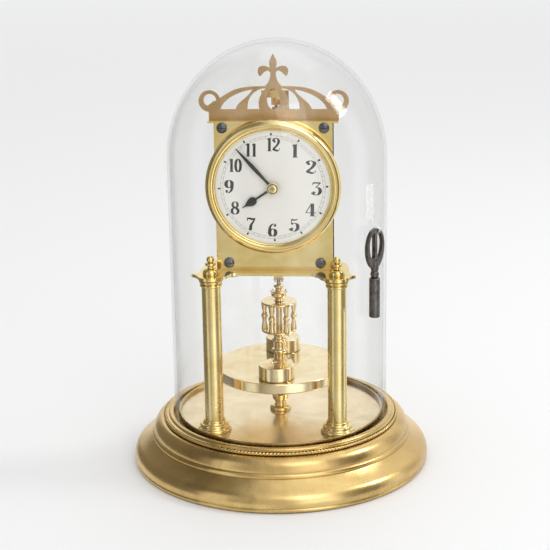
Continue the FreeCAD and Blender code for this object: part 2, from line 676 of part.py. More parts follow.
def escape_wheel():
    """Fifteen thin pointed teeth leaning forward, four arms."""
    points = []
    for i in range(ESCAPE_TEETH):
        a = -i * 360.0 / ESCAPE_TEETH
        points += [on_circle(ESCAPE, ESCAPE_R, a), on_circle(ESCAPE, ESCAPE_R, a - 1.5),
                   on_circle(ESCAPE, 6.6, a + 3.0), on_circle(ESCAPE, 6.3, a - 8.0)]
    ring = [points[k] for i in range(ESCAPE_TEETH) for k in (4 * i + 2, 4 * i, 4 * i + 1, 4 * i + 3)]
    lines = [Vector(x, -16.0, z) for x, z in ring + ring[:1]]
    disc = Part.Face(Part.makePolygon(lines)).extrude(BACK * 0.8)
    disc = disc.cut(rod_y(ESCAPE, -16.0, -15.0, ARBOR_R + 0.01))
    disc = disc.cut(crossings(ESCAPE, -16.0, 0.8, 2.2, 5.2, 4, 1.0))
    arbor = pivoted_arbor(ESCAPE, ARBOR_R)
    leafed = pinion(ESCAPE, -20.5, 1.8, 12, 0.5, direction(ESCAPE, FOURTH))
    return disc, arbor.fuse(leafed)


# ---------------------------------------------------------------- anchor, fork and suspension

PALLET_GAP = 0.75


def anchor():
    """Dead-beat anchor: arms reach down on both sides to polished pallets just clear of the wheel."""
    reach = ESCAPE_R + PALLET_GAP

    def place(x, z):
        return Vector(x, -16.0, z)
    tip = on_circle(ESCAPE, reach, 45.0)
    toe = (tip[0] + 1.2, tip[1] + 0.6)
    sheet = mirrored_sheet(
        place, BACK * 1.0, [(0.0, 230.2), (2.0, 231.4), (5.2, 230.8)], [(5.2, 230.8), tip], [tip, toe],
        [toe, (7.2, 232.0), (3.4, 234.6), (0.0, 235.4)])
    return sheet.cut(rod_y(ANCHOR, -17.0, -14.0, 1.02))


def anchor_arbor():
    """Arbor of the anchor with the upright pin that the fork drives."""
    shaft = pivoted_arbor(ANCHOR, 1.0)
    pin = rod_z(0, -11.5, ANCHOR[1], 245.2, 0.45)
    return shaft.fuse(pin)


FORK_Z = 243.4
FORK_GAP = 0.6


def suspension_fork():
    """Clip on the suspension spring with two tines that embrace the anchor pin."""
    low, high = FORK_Z - 0.7, FORK_Z + 0.7
    block = rod_z(0, 0, FORK_Z - 2.2, FORK_Z + 2.2, 2.6).cut(rod_z(0, 0, FORK_Z - 3, FORK_Z + 3, 1.2))
    arm = box(-0.8, 0.8, -8.6, -2.2, low, high)
    yoke = box(-1.6, 1.6, -9.4, -8.4, low, high)
    tines = [box(FORK_GAP, 1.6, -12.6, -9.4, low, high), box(-1.6, -FORK_GAP, -12.6, -9.4, low, high)]
    return block.fuse([arm, yoke] + tines).removeSplitter()


BRACKET_ARM = (255.0, 257.6)


def suspension_bracket():
    """Two-legged cock on the back plate; its arm reaches back over the pendulum axis."""
    legs = box(-13.0, 13.0, BACK_FACE, BACK_FACE + 1.6, 217.6, BRACKET_ARM[1])
    window = box(-6.2, 6.2, BACK_FACE, BACK_FACE + 1.6, 224.6, 253.0)
    cheeks = [box(9.0, 13.0, BACK_FACE, BACK_FACE + 1.6, 228.0, BRACKET_ARM[1]),
              box(-13.0, -9.0, BACK_FACE, BACK_FACE + 1.6, 228.0, BRACKET_ARM[1])]
    arm = box(-5.0, 5.0, BACK_FACE, 0.0, *BRACKET_ARM).fuse(rod_z(0, 0, *BRACKET_ARM, 5.0))
    frame = legs.cut([window] + cheeks).fuse(arm)
    frame = frame.cut([rod_y(place, -8.0, -6.0, 1.05) for place in back_screw_places()[:2]])
    return frame.cut(rod_z(0, 0, *BRACKET_ARM, 2.05)).removeSplitter()


def suspension_saddle():
    """Adjustable stud with a knurled head on the arm and the upper clamp block below it."""
    stud = turned_z(
        0, 0, (0, 249.0), (2.0, 249.0), (2.0, BRACKET_ARM[1]), (4.2, BRACKET_ARM[1]), (4.2, 260.0),
        ((2.4, 261.0), (0.4, 261.3)), (0, 261.3))
    block = box(-3.0, 3.0, -1.6, 1.6, 247.0, 253.0)
    return stud.fuse(block).cut(rod_z(0, 0, 246.0, 251.6, 1.15))


def suspension_spring():
    return box(-1.0, 1.0, -0.08, 0.08, 129.4, 251.4)


def lower_suspension_block():
    """Clamp at the lower end of the spring; its two legs carry the cross pin of the pendulum rod."""
    block = box(-3.0, 3.0, -1.4, 1.4, 125.6, 132.2).cut(box(-1.05, 1.05, -0.1, 0.1, 129.3, 132.2))
    block = block.cut(box(-1.7, 1.7, -1.4, 1.4, 125.6, 128.6))
    return block.cut(Part.makeCylinder(CROSS_PIN_R + 0.05, 8.0, Vector(-4.0, 0, CROSS_PIN_Z), RIGHT))


# ---------------------------------------------------------------- pendulum

def pendulum_disc():
    """Thick disc with a domed edge, a rack channel underneath and two slots for the weight pins."""
    disc = turned_z(
        0, 0, (0, DISC_LOW), (DISC_R - 0.8, DISC_LOW),
        ((DISC_R - 0.2, DISC_LOW + 0.2), (DISC_R, DISC_LOW + 0.8)), (DISC_R, DISC_TOP - 0.8),
        ((DISC_R - 0.2, DISC_TOP - 0.2), (DISC_R - 0.8, DISC_TOP)), (0, DISC_TOP))
    disc = disc.cut(box(-5.8, 5.8, -38.0, 38.0, DISC_LOW, DISC_LOW + 3.4))
    disc = disc.cut(rod_z(0, 0, DISC_LOW, DISC_TOP, TUBE_R + 0.05))
    for side in (-1, 1):
        y0, y1 = sorted((side * 19.0, side * 33.6))
        disc = disc.cut(box(-1.15, 1.15, y0, y1, DISC_LOW + 3.0, DISC_TOP))
    return disc


def disc_under_plate():
    plate = box(-7.6, 7.6, -41.0, 41.0, DISC_LOW - 1.0, DISC_LOW)
    return plate.cut(rod_z(0, 0, DISC_LOW - 1.0, DISC_LOW, ROD_R + 0.05))


def pendulum_stem():
    """Turned stem between the disc and the gallery."""
    bore = TUBE_R + 0.05
    return turned_z(
        0, 0, (bore, DISC_TOP), (8.6, DISC_TOP), ((8.9, 68.0), (8.0, 69.0)), (6.6, 69.4),
        ((4.2, 70.6), (3.8, 73.4)), (3.8, 75.0), ((5.6, 76.4), (3.9, 77.8)), (3.6, 79.0), (3.6, 82.4),
        (4.2, 83.0), ((5.3, 84.2), (4.2, 85.4)), ((3.9, 87.2), (6.6, 88.8)), (7.4, 89.2), (7.4, STEM_TOP),
        (bore, STEM_TOP))


def gallery_plate(low, high, bore):
    edge = (high - low) / 2
    return turned_z(
        0, 0, (bore, low), (GALLERY_R - 0.7, low), ((GALLERY_R, low + edge), (GALLERY_R - 0.7, high)),
        (bore, high))


def baluster():
    """Baluster waisted above and below the ball in its middle, standing at -Y on the gallery ring."""
    b, m, t = STEM_TOP + 1.6, 101.3, GALLERY_TOP - 1.6
    return turned_z(
        0, -BALUSTER_RING_R, (0, b), (2.2, b), (2.2, b + 0.7), ((1.8, b + 3.2), (1.3, m - 2.5)),
        (1.9, m - 2.2), (1.5, m - 1.6), ((2.3, m), (1.5, m + 1.6)), (1.9, m + 2.2), (1.3, m + 2.5),
        ((1.8, t - 3.2), (2.2, t - 0.7)), (2.2, t), (0, t))


def pendulum_rod():
    """Rod through the whole pendulum: guide pin and nut below, cross pin above for the spring."""
    rod = turned_z(
        0, 0, (0, 41.2), ((0.9, 41.5), (1.3, 42.6)), (1.3, 54.8), (3.6, 55.2), (3.8, 55.8), (3.8, 58.2),
        (3.4, DISC_LOW - 1.0), (ROD_R, DISC_LOW - 1.0), (ROD_R, 125.2), (1.0, 126.6), (0, 126.6))
    neck = box(-1.2, 1.2, -0.6, 0.6, 125.0, 128.4)
    cross = Part.makeCylinder(CROSS_PIN_R, 6.8, Vector(-3.4, 0, CROSS_PIN_Z), RIGHT)
    return rod.fuse([neck, cross])


def regulator_knob():
    """Spiky knurled knob on a tube that carries the rack pinion at its lower end."""
    knob = turned_z(
        0, 0, (ROD_R + 0.05, GALLERY_TOP + 0.1), (3.4, GALLERY_TOP + 0.1), ((2.6, 113.4), (3.2, 114.6)),
        ((4.9, 115.4), (5.2, 117.0)), ((4.6, 118.4), (3.4, 119.0)), ((2.2, 120.0), (2.8, 121.2)),
        ((3.4, 122.4), (2.0, 123.6)), (ROD_R + 0.05, 123.6))
    spikes = 10
    for i in range(spikes):
        spike = Part.makeCone(0.9, 0.25, 3.2, Vector(4.0, 0, 116.6), Vector(0.55, 0, 0.85))
        knob = knob.fuse(around_z(spike, i * 360.0 / spikes))
    tube = rod_z(0, 0, DISC_LOW + 0.3, GALLERY_TOP + 0.2, TUBE_R)
    knob = knob.fuse([tube, flat_pinion()])
    return knob.cut(rod_z(0, 0, DISC_LOW, 124.0, ROD_R + 0.05))


def flat_pinion():
    """Twelve-leaf pinion that turns about the Z axis between the two racks."""
    leaves = gear_blank((0, 0), 0, 2.0, 12, 2 * RACK_PITCH / 12, 15.0, LEAF_TOOTH)
    leaves.rotate(Vector(0, 0, 0), RIGHT, 90)
    leaves.translate(Vector(0, 0, DISC_LOW + 0.6))
    return leaves


def weight(side):
    """Round weight on the disc; a pin through the slot joins it to its rack in the channel."""
    body = turned_z(
        0, -WEIGHT_Y, (0, DISC_TOP + 0.05), (WEIGHT_R - 0.5, DISC_TOP + 0.05), (WEIGHT_R, DISC_TOP + 0.6),
        (WEIGHT_R, WEIGHT_TOP - 0.8), ((WEIGHT_R - 0.2, WEIGHT_TOP - 0.2), (WEIGHT_R - 0.9, WEIGHT_TOP)),
        (4.6, WEIGHT_TOP), (4.2, WEIGHT_TOP - 0.4), (0, WEIGHT_TOP - 0.4))
    pin = rod_z(0, -WEIGHT_Y, DISC_LOW + 0.6, DISC_TOP + 0.2, 1.0)
    lug = box(-2.0, 5.4, -WEIGHT_Y - 2.0, -WEIGHT_Y + 2.0, DISC_LOW + 0.6, DISC_LOW + 3.0)
    bar = box(RACK_PITCH + 0.65, 5.4, -WEIGHT_Y, 5.0, DISC_LOW + 0.6, DISC_LOW + 2.6)
    spacing = 2 * math.pi * RACK_PITCH / 12
    teeth = []
    for i in range(-7, 3):
        y = i * spacing
        corners = [(RACK_PITCH + 0.7, y - 0.36), (RACK_PITCH, y - 0.30), (RACK_PITCH - 0.42, y - 0.14),
                   (RACK_PITCH - 0.42, y + 0.14), (RACK_PITCH, y + 0.30), (RACK_PITCH + 0.7, y + 0.36)]
        lines = [Vector(a, b, DISC_LOW + 0.6) for a, b in corners + corners[:1]]
        teeth.append(Part.Face(Part.makePolygon(lines)).extrude(UP * 2.0))
    whole = body.fuse([pin, lug, bar] + teeth)
    return whole if side < 0 else around_z(whole, 180)


# ---------------------------------------------------------------- dome and key

def glass_dome():
    outer = dome_solid(DOME_R, DOME_TOP)
    return outer.cut(dome_solid(DOME_R - GLASS, DOME_TOP - GLASS))


def dome_solid(radius, top):
    """Cylinder with a half-ellipsoid top, standing on the floor of the groove."""
    centre = Vector(0, 0, DOME_SPRING_Z)
    ellipse = Part.Ellipse(Vector(0, 0, top), Vector(radius, 0, DOME_SPRING_Z), centre)
    crown_arc = ellipse.toShape(0, math.pi / 2)
    shoulder = Vector(radius, 0, DOME_SPRING_Z)
    foot = Vector(radius, 0, GROOVE_FLOOR)
    base = Vector(0, 0, GROOVE_FLOOR)
    edges = [crown_arc, Part.makeLine(shoulder, foot), Part.makeLine(foot, base),
             Part.makeLine(base, Vector(0, 0, top))]
    return Part.Face(Part.Wire(edges)).revolve(Vector(0, 0, 0), UP, 360)


def winding_key():
    """Double-shouldered key: oval bow, turned neck and a barrel with a square socket."""
    y = -KEY_RADIUS
    barrel_top = KEY_LOW + 26.4
    body = turned_z(
        0, y, (0, KEY_LOW), (3.3, KEY_LOW), (3.55, KEY_LOW + 0.3), (3.55, barrel_top - 0.6),
        (3.1, barrel_top),
        (2.1, barrel_top + 0.4), ((2.8, barrel_top + 2.6), (2.1, barrel_top + 4.6)), (2.5, barrel_top + 5.2),
        (2.9, barrel_top + 9.0), (2.2, barrel_top + 12.0), (0, barrel_top + 12.0))
    body = body.cut(box(-1.8, 1.8, y - 1.8, y + 1.8, KEY_LOW, KEY_LOW + 12.0))

    def place(x, z):
        return Vector(x, y - 1.2, z)
    bow_low = barrel_top + 6.0
    bow_top = bow_low + 27.0
    bow = mirrored_sheet(
        place, BACK * 2.4, [(0.0, bow_low), (4.0, bow_low + 1.6), (9.0, bow_low + 9.0), (9.6, bow_low + 17.0),
                            (6.0, bow_top - 2.4), (0.0, bow_top)])
    for side in (-1, 1):
        hole = smooth_sheet(
            place, BACK * 2.4,
            [(side * 1.4, bow_low + 8.4), (side * 4.6, bow_low + 7.6), (side * 7.0, bow_low + 12.6),
             (side * 6.8, bow_low + 20.0), (side * 3.6, bow_top - 2.9), (side * 1.4, bow_top - 2.4)],
            [(side * 1.4, bow_top - 2.4), (side * 1.4, bow_low + 8.4)])
        bow = bow.cut(hole)
    return around_z(body.fuse(bow), KEY_AZIMUTH)


def key_tape():
    """Clear tape on the dome; its folded tail ends in a loop through the top of the bow."""
    face = -DOME_R - 0.25
    film = 0.25
    strip = box(-4.5, 4.5, face - film, face, KEY_PIVOT_Z + 7.0, KEY_PIVOT_Z + 30.0)
    axis_y = -KEY_RADIUS
    loop = Part.makeCylinder(2.35, 1.8, Vector(1.6, axis_y, KEY_PIVOT_Z), RIGHT)
    tail_y = axis_y + 2.35
    points = [(tail_y - film, KEY_PIVOT_Z), (tail_y, KEY_PIVOT_Z), (face, KEY_PIVOT_Z + 7.5),
              (face - film, KEY_PIVOT_Z + 7.5), (tail_y - film, KEY_PIVOT_Z)]
    tail = Part.Face(Part.makePolygon([Vector(1.6, y, z) for y, z in points])).extrude(RIGHT * 1.8)
    tape = loop.fuse([strip, tail]).cut(Part.makeCylinder(2.1, 1.8, Vector(1.6, axis_y, KEY_PIVOT_Z), RIGHT))
    return around_z(tape, KEY_AZIMUTH)


# ---------------------------------------------------------------- export

def small_screws():
    """Identical cheese-head screws: two for the crown, two for the bracket, click pivot, click spring."""
    def screw():
        head = turned_z(0, 0, (0, 0), (1.9, 0), (1.9, 1.0), ((1.8, 1.3), (1.5, 1.4)), (0, 1.4))
        shank = rod_z(0, 0, -4.2, 0, 1.0)
        return head.fuse(shank).cut(box(-2, 2, -0.25, 0.25, 0.9, 1.5))
    screws = []
    for side in (-1, 1):
        top = screw()
        top.translate(Vector(side * CROWN_LUG_X, CROWN_Y + 5.0, ROOF_TOP + 1.2))
        screws.append(top)
    seats = (BACK_FACE + 1.6, BACK_FACE + 1.6, -6.0 + 0.1, -6.6)
    for (x, z), seat in zip(back_screw_places(), seats):
        rear = screw()
        rear.rotate(Vector(0, 0, 0), RIGHT, -90)
        rear.translate(Vector(x, seat, z))
        screws.append(rear)
    return screws


def save_columns():
    foot, shaft, capital = column_profiles()
    save("column_feet", *both_sides(foot))
    save("column_shafts", *both_sides(shaft))
    save("column_capitals", *both_sides(capital))
    save("column_tie_rods", *both_sides(tie_rod()))
    save("tie_rod_nuts", *both_sides(tie_rod_nut()))
    save("finials", *both_sides(finial()))
    save("thumb_screws", *both_sides(thumb_screw()))


def save_frame():
    save("movement_pillars", *[movement_pillar(x, z, r) for x, z, r in pillar_places()])
    screws = [plate_screw(x, z, FRONT_FACE, 1) for x, z, r in pillar_places()]
    screws += [plate_screw(x, z, BACK_FACE, -1) for x, z, r in pillar_places()]
    save("plate_screws", *screws)
    save("small_screws", *small_screws())


def save_train():
    second = train_wheel(SECOND, THIRD, BARREL, (-13.2, 0.8, 80, 0.34), (-15.9, 2.0, 8, 0.42))
    third = train_wheel(THIRD, CENTRE, SECOND, (-11.2, 0.8, 72, 0.34), (-13.6, 1.6, 8, 0.34))
    fourth = train_wheel(FOURTH, ESCAPE, CENTRE, (-20.0, 0.8, 48, 0.5), (-25.4, 1.8, 12, 0.5))
    save("second_wheel", *second)
    save("third_wheel", *third)
    save("fourth_wheel", *fourth)
    save("escape_wheel", *escape_wheel())


def save_pendulum():
    save("gallery_plates", gallery_plate(STEM_TOP, STEM_TOP + 1.6, TUBE_R + 0.05),
         gallery_plate(GALLERY_TOP - 1.6, GALLERY_TOP, TUBE_R + 0.05))
    save("gallery_balusters", *[
        around_z(baluster(), GALLERY_TURN + i * 360.0 / BALUSTERS) for i in range(BALUSTERS)])
    save("weight_front", weight(-1))
    save("weight_rear", weight(1))


SINGLE_PIECES = (
    base_moulding, rope_ring, base_top_plate, pendulum_cup, platform, front_plate, back_plate, roof_plate,
    crown, dial, bezel, minute_hand, hour_hand, hand_collet, cannon_pinion, minute_wheel, minute_wheel_post,
    hour_wheel, barrel, barrel_cap, mainspring, winding_arbor, ratchet_wheel, click, click_spring,
    centre_arbor, centre_wheel,
    anchor, anchor_arbor, suspension_fork, suspension_bracket, suspension_saddle, suspension_spring,
    lower_suspension_block, pendulum_disc, disc_under_plate, pendulum_stem, pendulum_rod, regulator_knob,
    glass_dome, winding_key, key_tape)

os.makedirs("parts", exist_ok=True)
save_columns()
save_frame()
save_train()
save_pendulum()
for piece in SINGLE_PIECES:
    save(piece.__name__, piece())
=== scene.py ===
"""Looks of the anniversary clock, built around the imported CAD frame. Metres; the dial faces -Y."""

import json
import math

import bmesh
import bpy
from mathutils import Matrix, Vector


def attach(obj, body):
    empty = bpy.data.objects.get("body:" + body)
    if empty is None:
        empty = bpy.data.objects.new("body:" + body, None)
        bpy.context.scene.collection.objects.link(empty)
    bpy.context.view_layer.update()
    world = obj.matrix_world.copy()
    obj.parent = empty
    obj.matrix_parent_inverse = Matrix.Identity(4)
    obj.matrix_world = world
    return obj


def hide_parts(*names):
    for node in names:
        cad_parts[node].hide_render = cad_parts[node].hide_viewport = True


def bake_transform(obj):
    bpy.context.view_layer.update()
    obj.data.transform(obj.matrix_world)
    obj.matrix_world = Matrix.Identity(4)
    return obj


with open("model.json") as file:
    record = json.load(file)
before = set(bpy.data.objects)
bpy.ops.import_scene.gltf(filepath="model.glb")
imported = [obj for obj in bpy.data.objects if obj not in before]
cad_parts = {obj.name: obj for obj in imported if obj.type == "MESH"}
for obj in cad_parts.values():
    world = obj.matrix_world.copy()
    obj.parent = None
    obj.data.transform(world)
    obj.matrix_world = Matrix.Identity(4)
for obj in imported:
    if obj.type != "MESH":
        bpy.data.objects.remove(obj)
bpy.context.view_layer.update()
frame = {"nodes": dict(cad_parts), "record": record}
NODES = frame["nodes"]
MM = 0.001

# Camera, in metres and radians, lens and sensor in millimetres: its place is turned about Z, and it is
# tilted down and rolled a little
CAMERA_DISTANCE = 1.0
CAMERA_HEIGHT = 0.42074
CAMERA_SIDE = -0.00243
CAMERA_TURN = math.radians(4.767)
CAMERA_TILT = 0.282825
CAMERA_ROLL = -0.015523
CAMERA_LENS = 100.257
SENSOR_WIDTH = 36.0

SEGMENTS = 192
WELD_DISTANCE = 1e-7
SLIVER_LENGTH = 1e-8
CAD_SHARP_ANGLE = 32.0


# ---------------------------------------------------------------- mesh helpers

def add_mesh(name, verts, faces, body, material, smooth_angle=35.0):
    """A piece from vertices in millimetres, riding on a CAD body."""
    mesh = bpy.data.meshes.new(name)
    mesh.from_pydata([(x * MM, y * MM, z * MM) for x, y, z in verts], [], faces)
    mesh.validate()
    mesh.update()
    piece = bpy.data.objects.new(name, mesh)
    bpy.context.scene.collection.objects.link(piece)
    smooth_faces(mesh, smooth_angle)
    mesh.materials.append(material)
    if body is not None:
        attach(piece, body)
    return piece


def smooth_faces(mesh, angle):
    """Smooth shading, sharp at edges that turn by more than an angle in degrees."""
    mesh.shade_smooth()
    mesh.set_sharp_from_angle(angle=math.radians(angle))


def arc_points(start, middle, end, steps=10):
    """Points along the circle through three points, without the first."""
    (x1, y1), (x2, y2), (x3, y3) = start, middle, end
    d = 2 * (x1 * (y2 - y3) + x2 * (y3 - y1) + x3 * (y1 - y2))
    s1, s2, s3 = x1 * x1 + y1 * y1, x2 * x2 + y2 * y2, x3 * x3 + y3 * y3
    cx = (s1 * (y2 - y3) + s2 * (y3 - y1) + s3 * (y1 - y2)) / d
    cy = (s1 * (x3 - x2) + s2 * (x1 - x3) + s3 * (x2 - x1)) / d
    a1, a2, a3 = (math.atan2(y - cy, x - cx) for x, y in (start, middle, end))
    turn = 2 * math.pi
    full = (a3 - a1) % turn
    if (a2 - a1) % turn > full:
        full -= turn
    radius = math.hypot(x1 - cx, y1 - cy)
    return [(cx + radius * math.cos(a1 + full * i / steps), cy + radius * math.sin(a1 + full * i / steps))
            for i in range(1, steps + 1)]


def profile(start, *steps):
    """Profile points; a step is a point, or a (middle, end) pair for an arc."""
    points = [start]
    for step in steps:
        if isinstance(step[0], tuple):
            points += arc_points(points[-1], *step)
        else:
            points.append(step)
    return points


def lathe(name, points, body, material, centre=(0.0, 0.0), along_y=False, segments=SEGMENTS,
          angle=35.0):
    """Closed profile of (radius, height) points turned about Z, or about the Y axis through centre."""
    verts = []
    for i in range(segments):
        a = 2 * math.pi * i / segments
        c, s = math.cos(a), math.sin(a)
        for r, h in points:
            if along_y:
                verts.append((centre[0] + r * c, h, centre[1] + r * s))
            else:
                verts.append((centre[0] + r * c, centre[1] + r * s, h))
    n = len(points)
    faces = []
    for i in range(segments):
        j = (i + 1) % segments
        for k in range(n):
            m = (k + 1) % n
            face = (i * n + k, j * n + k, j * n + m, i * n + m)
            faces.append(face[::-1] if along_y else face)
    piece = add_mesh(name, verts, faces, body, material, angle)
    weld_axis(piece)
    return piece


def weld_axis(piece):
    """Joins the points that a lathe leaves on its axis and turns all faces outward."""
    work = bmesh.new()
    work.from_mesh(piece.data)
    bmesh.ops.remove_doubles(work, verts=work.verts, dist=WELD_DISTANCE)
    bmesh.ops.dissolve_degenerate(work, edges=work.edges, dist=SLIVER_LENGTH)
    bmesh.ops.recalc_face_normals(work, faces=work.faces)
    work.to_mesh(piece.data)
    work.free()
    piece.data.update()


# ---------------------------------------------------------------- materials

NO_STRETCH = (1.0, 1.0, 1.0)
# Places of the factor, the two colours and the result among the sockets of a colour mix node
MIX_FACTOR = 0
MIX_COLOURS = (6, 7)
MIX_RESULT = 2
# Metres
TOOL_MARK_DEPTH = 0.00002
DENT_DEPTH = 0.0006
CREVICE_REACH = 0.003

SPECK_COLOUR = (0.05, 0.035, 0.02)


def new_material(name):
    """Node material, returned with its nodes and links."""
    material = bpy.data.materials.new(name)
    material.use_nodes = True
    return material, material.node_tree.nodes, material.node_tree.links


def ramp(nodes, links, source, *stops):
    """Colour ramp node fed by a value; stops are (place, grey or colour)."""
    node = nodes.new("ShaderNodeValToRGB")
    elements = node.color_ramp.elements
    while len(elements) < len(stops):
        elements.new(0.5)
    for element, (place, colour) in zip(elements, stops):
        element.position = place
        grey = isinstance(colour, (int, float))
        element.color = (colour, colour, colour, 1.0) if grey else (*colour, 1.0)
    links.new(source, node.inputs["Fac"])
    return node.outputs["Color"]


def noise(nodes, links, vector, scale, detail=4.0, roughness=0.55, distortion=0.0):
    """Value of a noise texture."""
    node = nodes.new("ShaderNodeTexNoise")
    node.inputs["Scale"].default_value = scale
    node.inputs["Detail"].default_value = detail
    node.inputs["Roughness"].default_value = roughness
    node.inputs["Distortion"].default_value = distortion
    links.new(vector, node.inputs["Vector"])
    return node.outputs["Fac"]


def mix(nodes, links, factor, a, b):
    """Mix of two colours; each may be a socket or a fixed colour, and factor a socket or a number."""
    node = nodes.new("ShaderNodeMix")
    node.data_type = "RGBA"
    sockets = [node.inputs[i] for i in (MIX_FACTOR, *MIX_COLOURS)]
    for socket, value in zip(sockets, (factor, a, b)):
        if isinstance(value, bpy.types.NodeSocket):
            links.new(value, socket)
        elif isinstance(value, (int, float)):
            socket.default_value = value
        else:
            socket.default_value = (*value, 1.0)
    return node.outputs[MIX_RESULT]


def maths(nodes, links, operation, a, b=0.0):
    """Maths node; each value may be a socket or a number."""
    node = nodes.new("ShaderNodeMath")
    node.operation = operation
    for socket, value in zip(node.inputs, (a, b)):
        if isinstance(value, bpy.types.NodeSocket):
            links.new(value, socket)
        else:
            socket.default_value = value
    return node.outputs[0]


def stretched(nodes, links, scale):
    """Object coordinates with a scale for each axis, for brushed lines."""
    coords = nodes.new("ShaderNodeTexCoord")
    mapping = nodes.new("ShaderNodeMapping")
    mapping.inputs["Scale"].default_value = scale
    links.new(coords.outputs["Object"], mapping.inputs["Vector"])
    return mapping.outputs["Vector"]


def turned_lines(nodes, links, centre=(0.0, 0.0, 0.0), about_y=False, fine=9000.0):
    """Fine circular tool marks around a turning axis: noise over radius and height only."""
    coords = nodes.new("ShaderNodeTexCoord")
    shift = nodes.new("ShaderNodeVectorMath")
    shift.operation = "SUBTRACT"
    shift.inputs[1].default_value = centre
    links.new(coords.outputs["Object"], shift.inputs[0])
    split = nodes.new("ShaderNodeSeparateXYZ")
    links.new(shift.outputs[0], split.inputs[0])
    across = split.outputs["Z" if about_y else "Y"]
    height = split.outputs["Y" if about_y else "Z"]
    squares = [maths(nodes, links, "POWER", side, 2.0) for side in (split.outputs["X"], across)]
    radius = maths(nodes, links, "SQRT", maths(nodes, links, "ADD", *squares))
    join = nodes.new("ShaderNodeCombineXYZ")
    links.new(radius, join.inputs["X"])
    links.new(height, join.inputs["Y"])
    return noise(nodes, links, join.outputs[0], fine, 3.0, 0.7)


def bump(nodes, links, height, strength, distance, below=None):
    """Normal of a bump, laid over another normal if one is given."""
    node = nodes.new("ShaderNodeBump")
    node.inputs["Strength"].default_value = strength
    node.inputs["Distance"].default_value = distance
    links.new(height, node.inputs["Height"])
    if below is not None:
        links.new(below, node.inputs["Normal"])
    return node.outputs["Normal"]


def metal(name, bright, dull, rough_low, rough_high, blotch=45.0, lines="turned", line_strength=0.12,
          centre=(0.0, 0.0, 0.0), about_y=False, stain=0.0, crevice_shade_strength=0.35, dents=0.0):
    """Metal with blotchy tarnish, tool marks and painted shade in its crevices, and stains and dents if
    wanted.
    """
    material, nodes, links = new_material(name)
    shader = nodes["Principled BSDF"]
    shader.inputs["Metallic"].default_value = 1.0
    place = stretched(nodes, links, NO_STRETCH)
    cloud = noise(nodes, links, place, blotch, 6.0, 0.6, 0.6)
    colour = mix(nodes, links, ramp(nodes, links, cloud, (0.36, 0.0), (0.66, 1.0)), bright, dull)
    if stain:
        patch = noise(nodes, links, place, blotch * 0.55, 8.0, 0.62, 1.4)
        mark = maths(nodes, links, "MULTIPLY", ramp(nodes, links, patch, (0.52, 0.0), (0.68, 1.0)), stain)
        colour = mix(nodes, links, mark, colour, tuple(c * 0.42 for c in dull))
        speck = noise(nodes, links, place, 900.0, 1.0, 0.4)
        dot = maths(nodes, links, "MULTIPLY", ramp(nodes, links, speck, (0.76, 0.0), (0.80, 1.0)), stain)
        colour = mix(nodes, links, dot, colour, SPECK_COLOUR)
    # Painted shade: the colour darkens where ambient occlusion finds crevices, as far as the given strength
    cavity = nodes.new("ShaderNodeAmbientOcclusion")
    cavity.samples = 6
    cavity.inputs["Distance"].default_value = CREVICE_REACH
    crevice_shade = ramp(nodes, links, cavity.outputs["AO"], (0.25, 1.0), (0.85, 0.0))
    crevice_shade = maths(nodes, links, "MULTIPLY", crevice_shade, crevice_shade_strength)
    colour = mix(nodes, links, crevice_shade, colour, tuple(c * 0.35 for c in dull))
    links.new(colour, shader.inputs["Base Color"])
    smear = noise(nodes, links, place, blotch * 2.3, 5.0, 0.6)
    links.new(ramp(nodes, links, smear, (0.3, rough_low), (0.7, rough_high)), shader.inputs["Roughness"])
    if lines == "turned":
        marks = turned_lines(nodes, links, centre, about_y)
    else:
        marks = noise(nodes, links, stretched(nodes, links, lines), 60.0, 3.0, 0.7)
    normal = bump(nodes, links, marks, line_strength, TOOL_MARK_DEPTH)
    if dents:
        hollow = noise(nodes, links, place, 55.0, 2.0, 0.4)
        hollow = ramp(nodes, links, hollow, (0.34, 0.0), (0.5, 1.0))
        normal = bump(nodes, links, hollow, dents, DENT_DEPTH, normal)
    links.new(normal, shader.inputs["Normal"])
    return material


def enamel_material():
    """Creamy vitreous enamel: faint mottling, soft ripple and a clear gloss."""
    material, nodes, links = new_material("enamel_white")
    shader = nodes["Principled BSDF"]
    place = stretched(nodes, links, NO_STRETCH)
    cloud = noise(nodes, links, place, 60.0, 5.0, 0.6)
    colour = mix(nodes, links, cloud, (0.93, 0.915, 0.865), (0.885, 0.865, 0.80))
    links.new(colour, shader.inputs["Base Color"])
    shader.inputs["Roughness"].default_value = 0.24
    shader.inputs["Coat Weight"].default_value = 0.4
    shader.inputs["Coat Roughness"].default_value = 0.06
    ripple = noise(nodes, links, place, 220.0, 2.0, 0.5)
    links.new(bump(nodes, links, ripple, 0.06, 0.0001), shader.inputs["Normal"])
    return material


def print_material(name, colour, gloss):
    """Black of the dial's print and of the hands, slightly uneven in shade and gloss."""
    material, nodes, links = new_material(name)
    shader = nodes["Principled BSDF"]
    place = stretched(nodes, links, NO_STRETCH)
    uneven = noise(nodes, links, place, 900.0, 4.0, 0.6)
    lighter = tuple(c + 0.02 for c in colour)
    links.new(mix(nodes, links, uneven, colour, lighter), shader.inputs["Base Color"])
    links.new(ramp(nodes, links, uneven, (0.3, gloss), (0.7, gloss + 0.15)), shader.inputs["Roughness"])
    return material


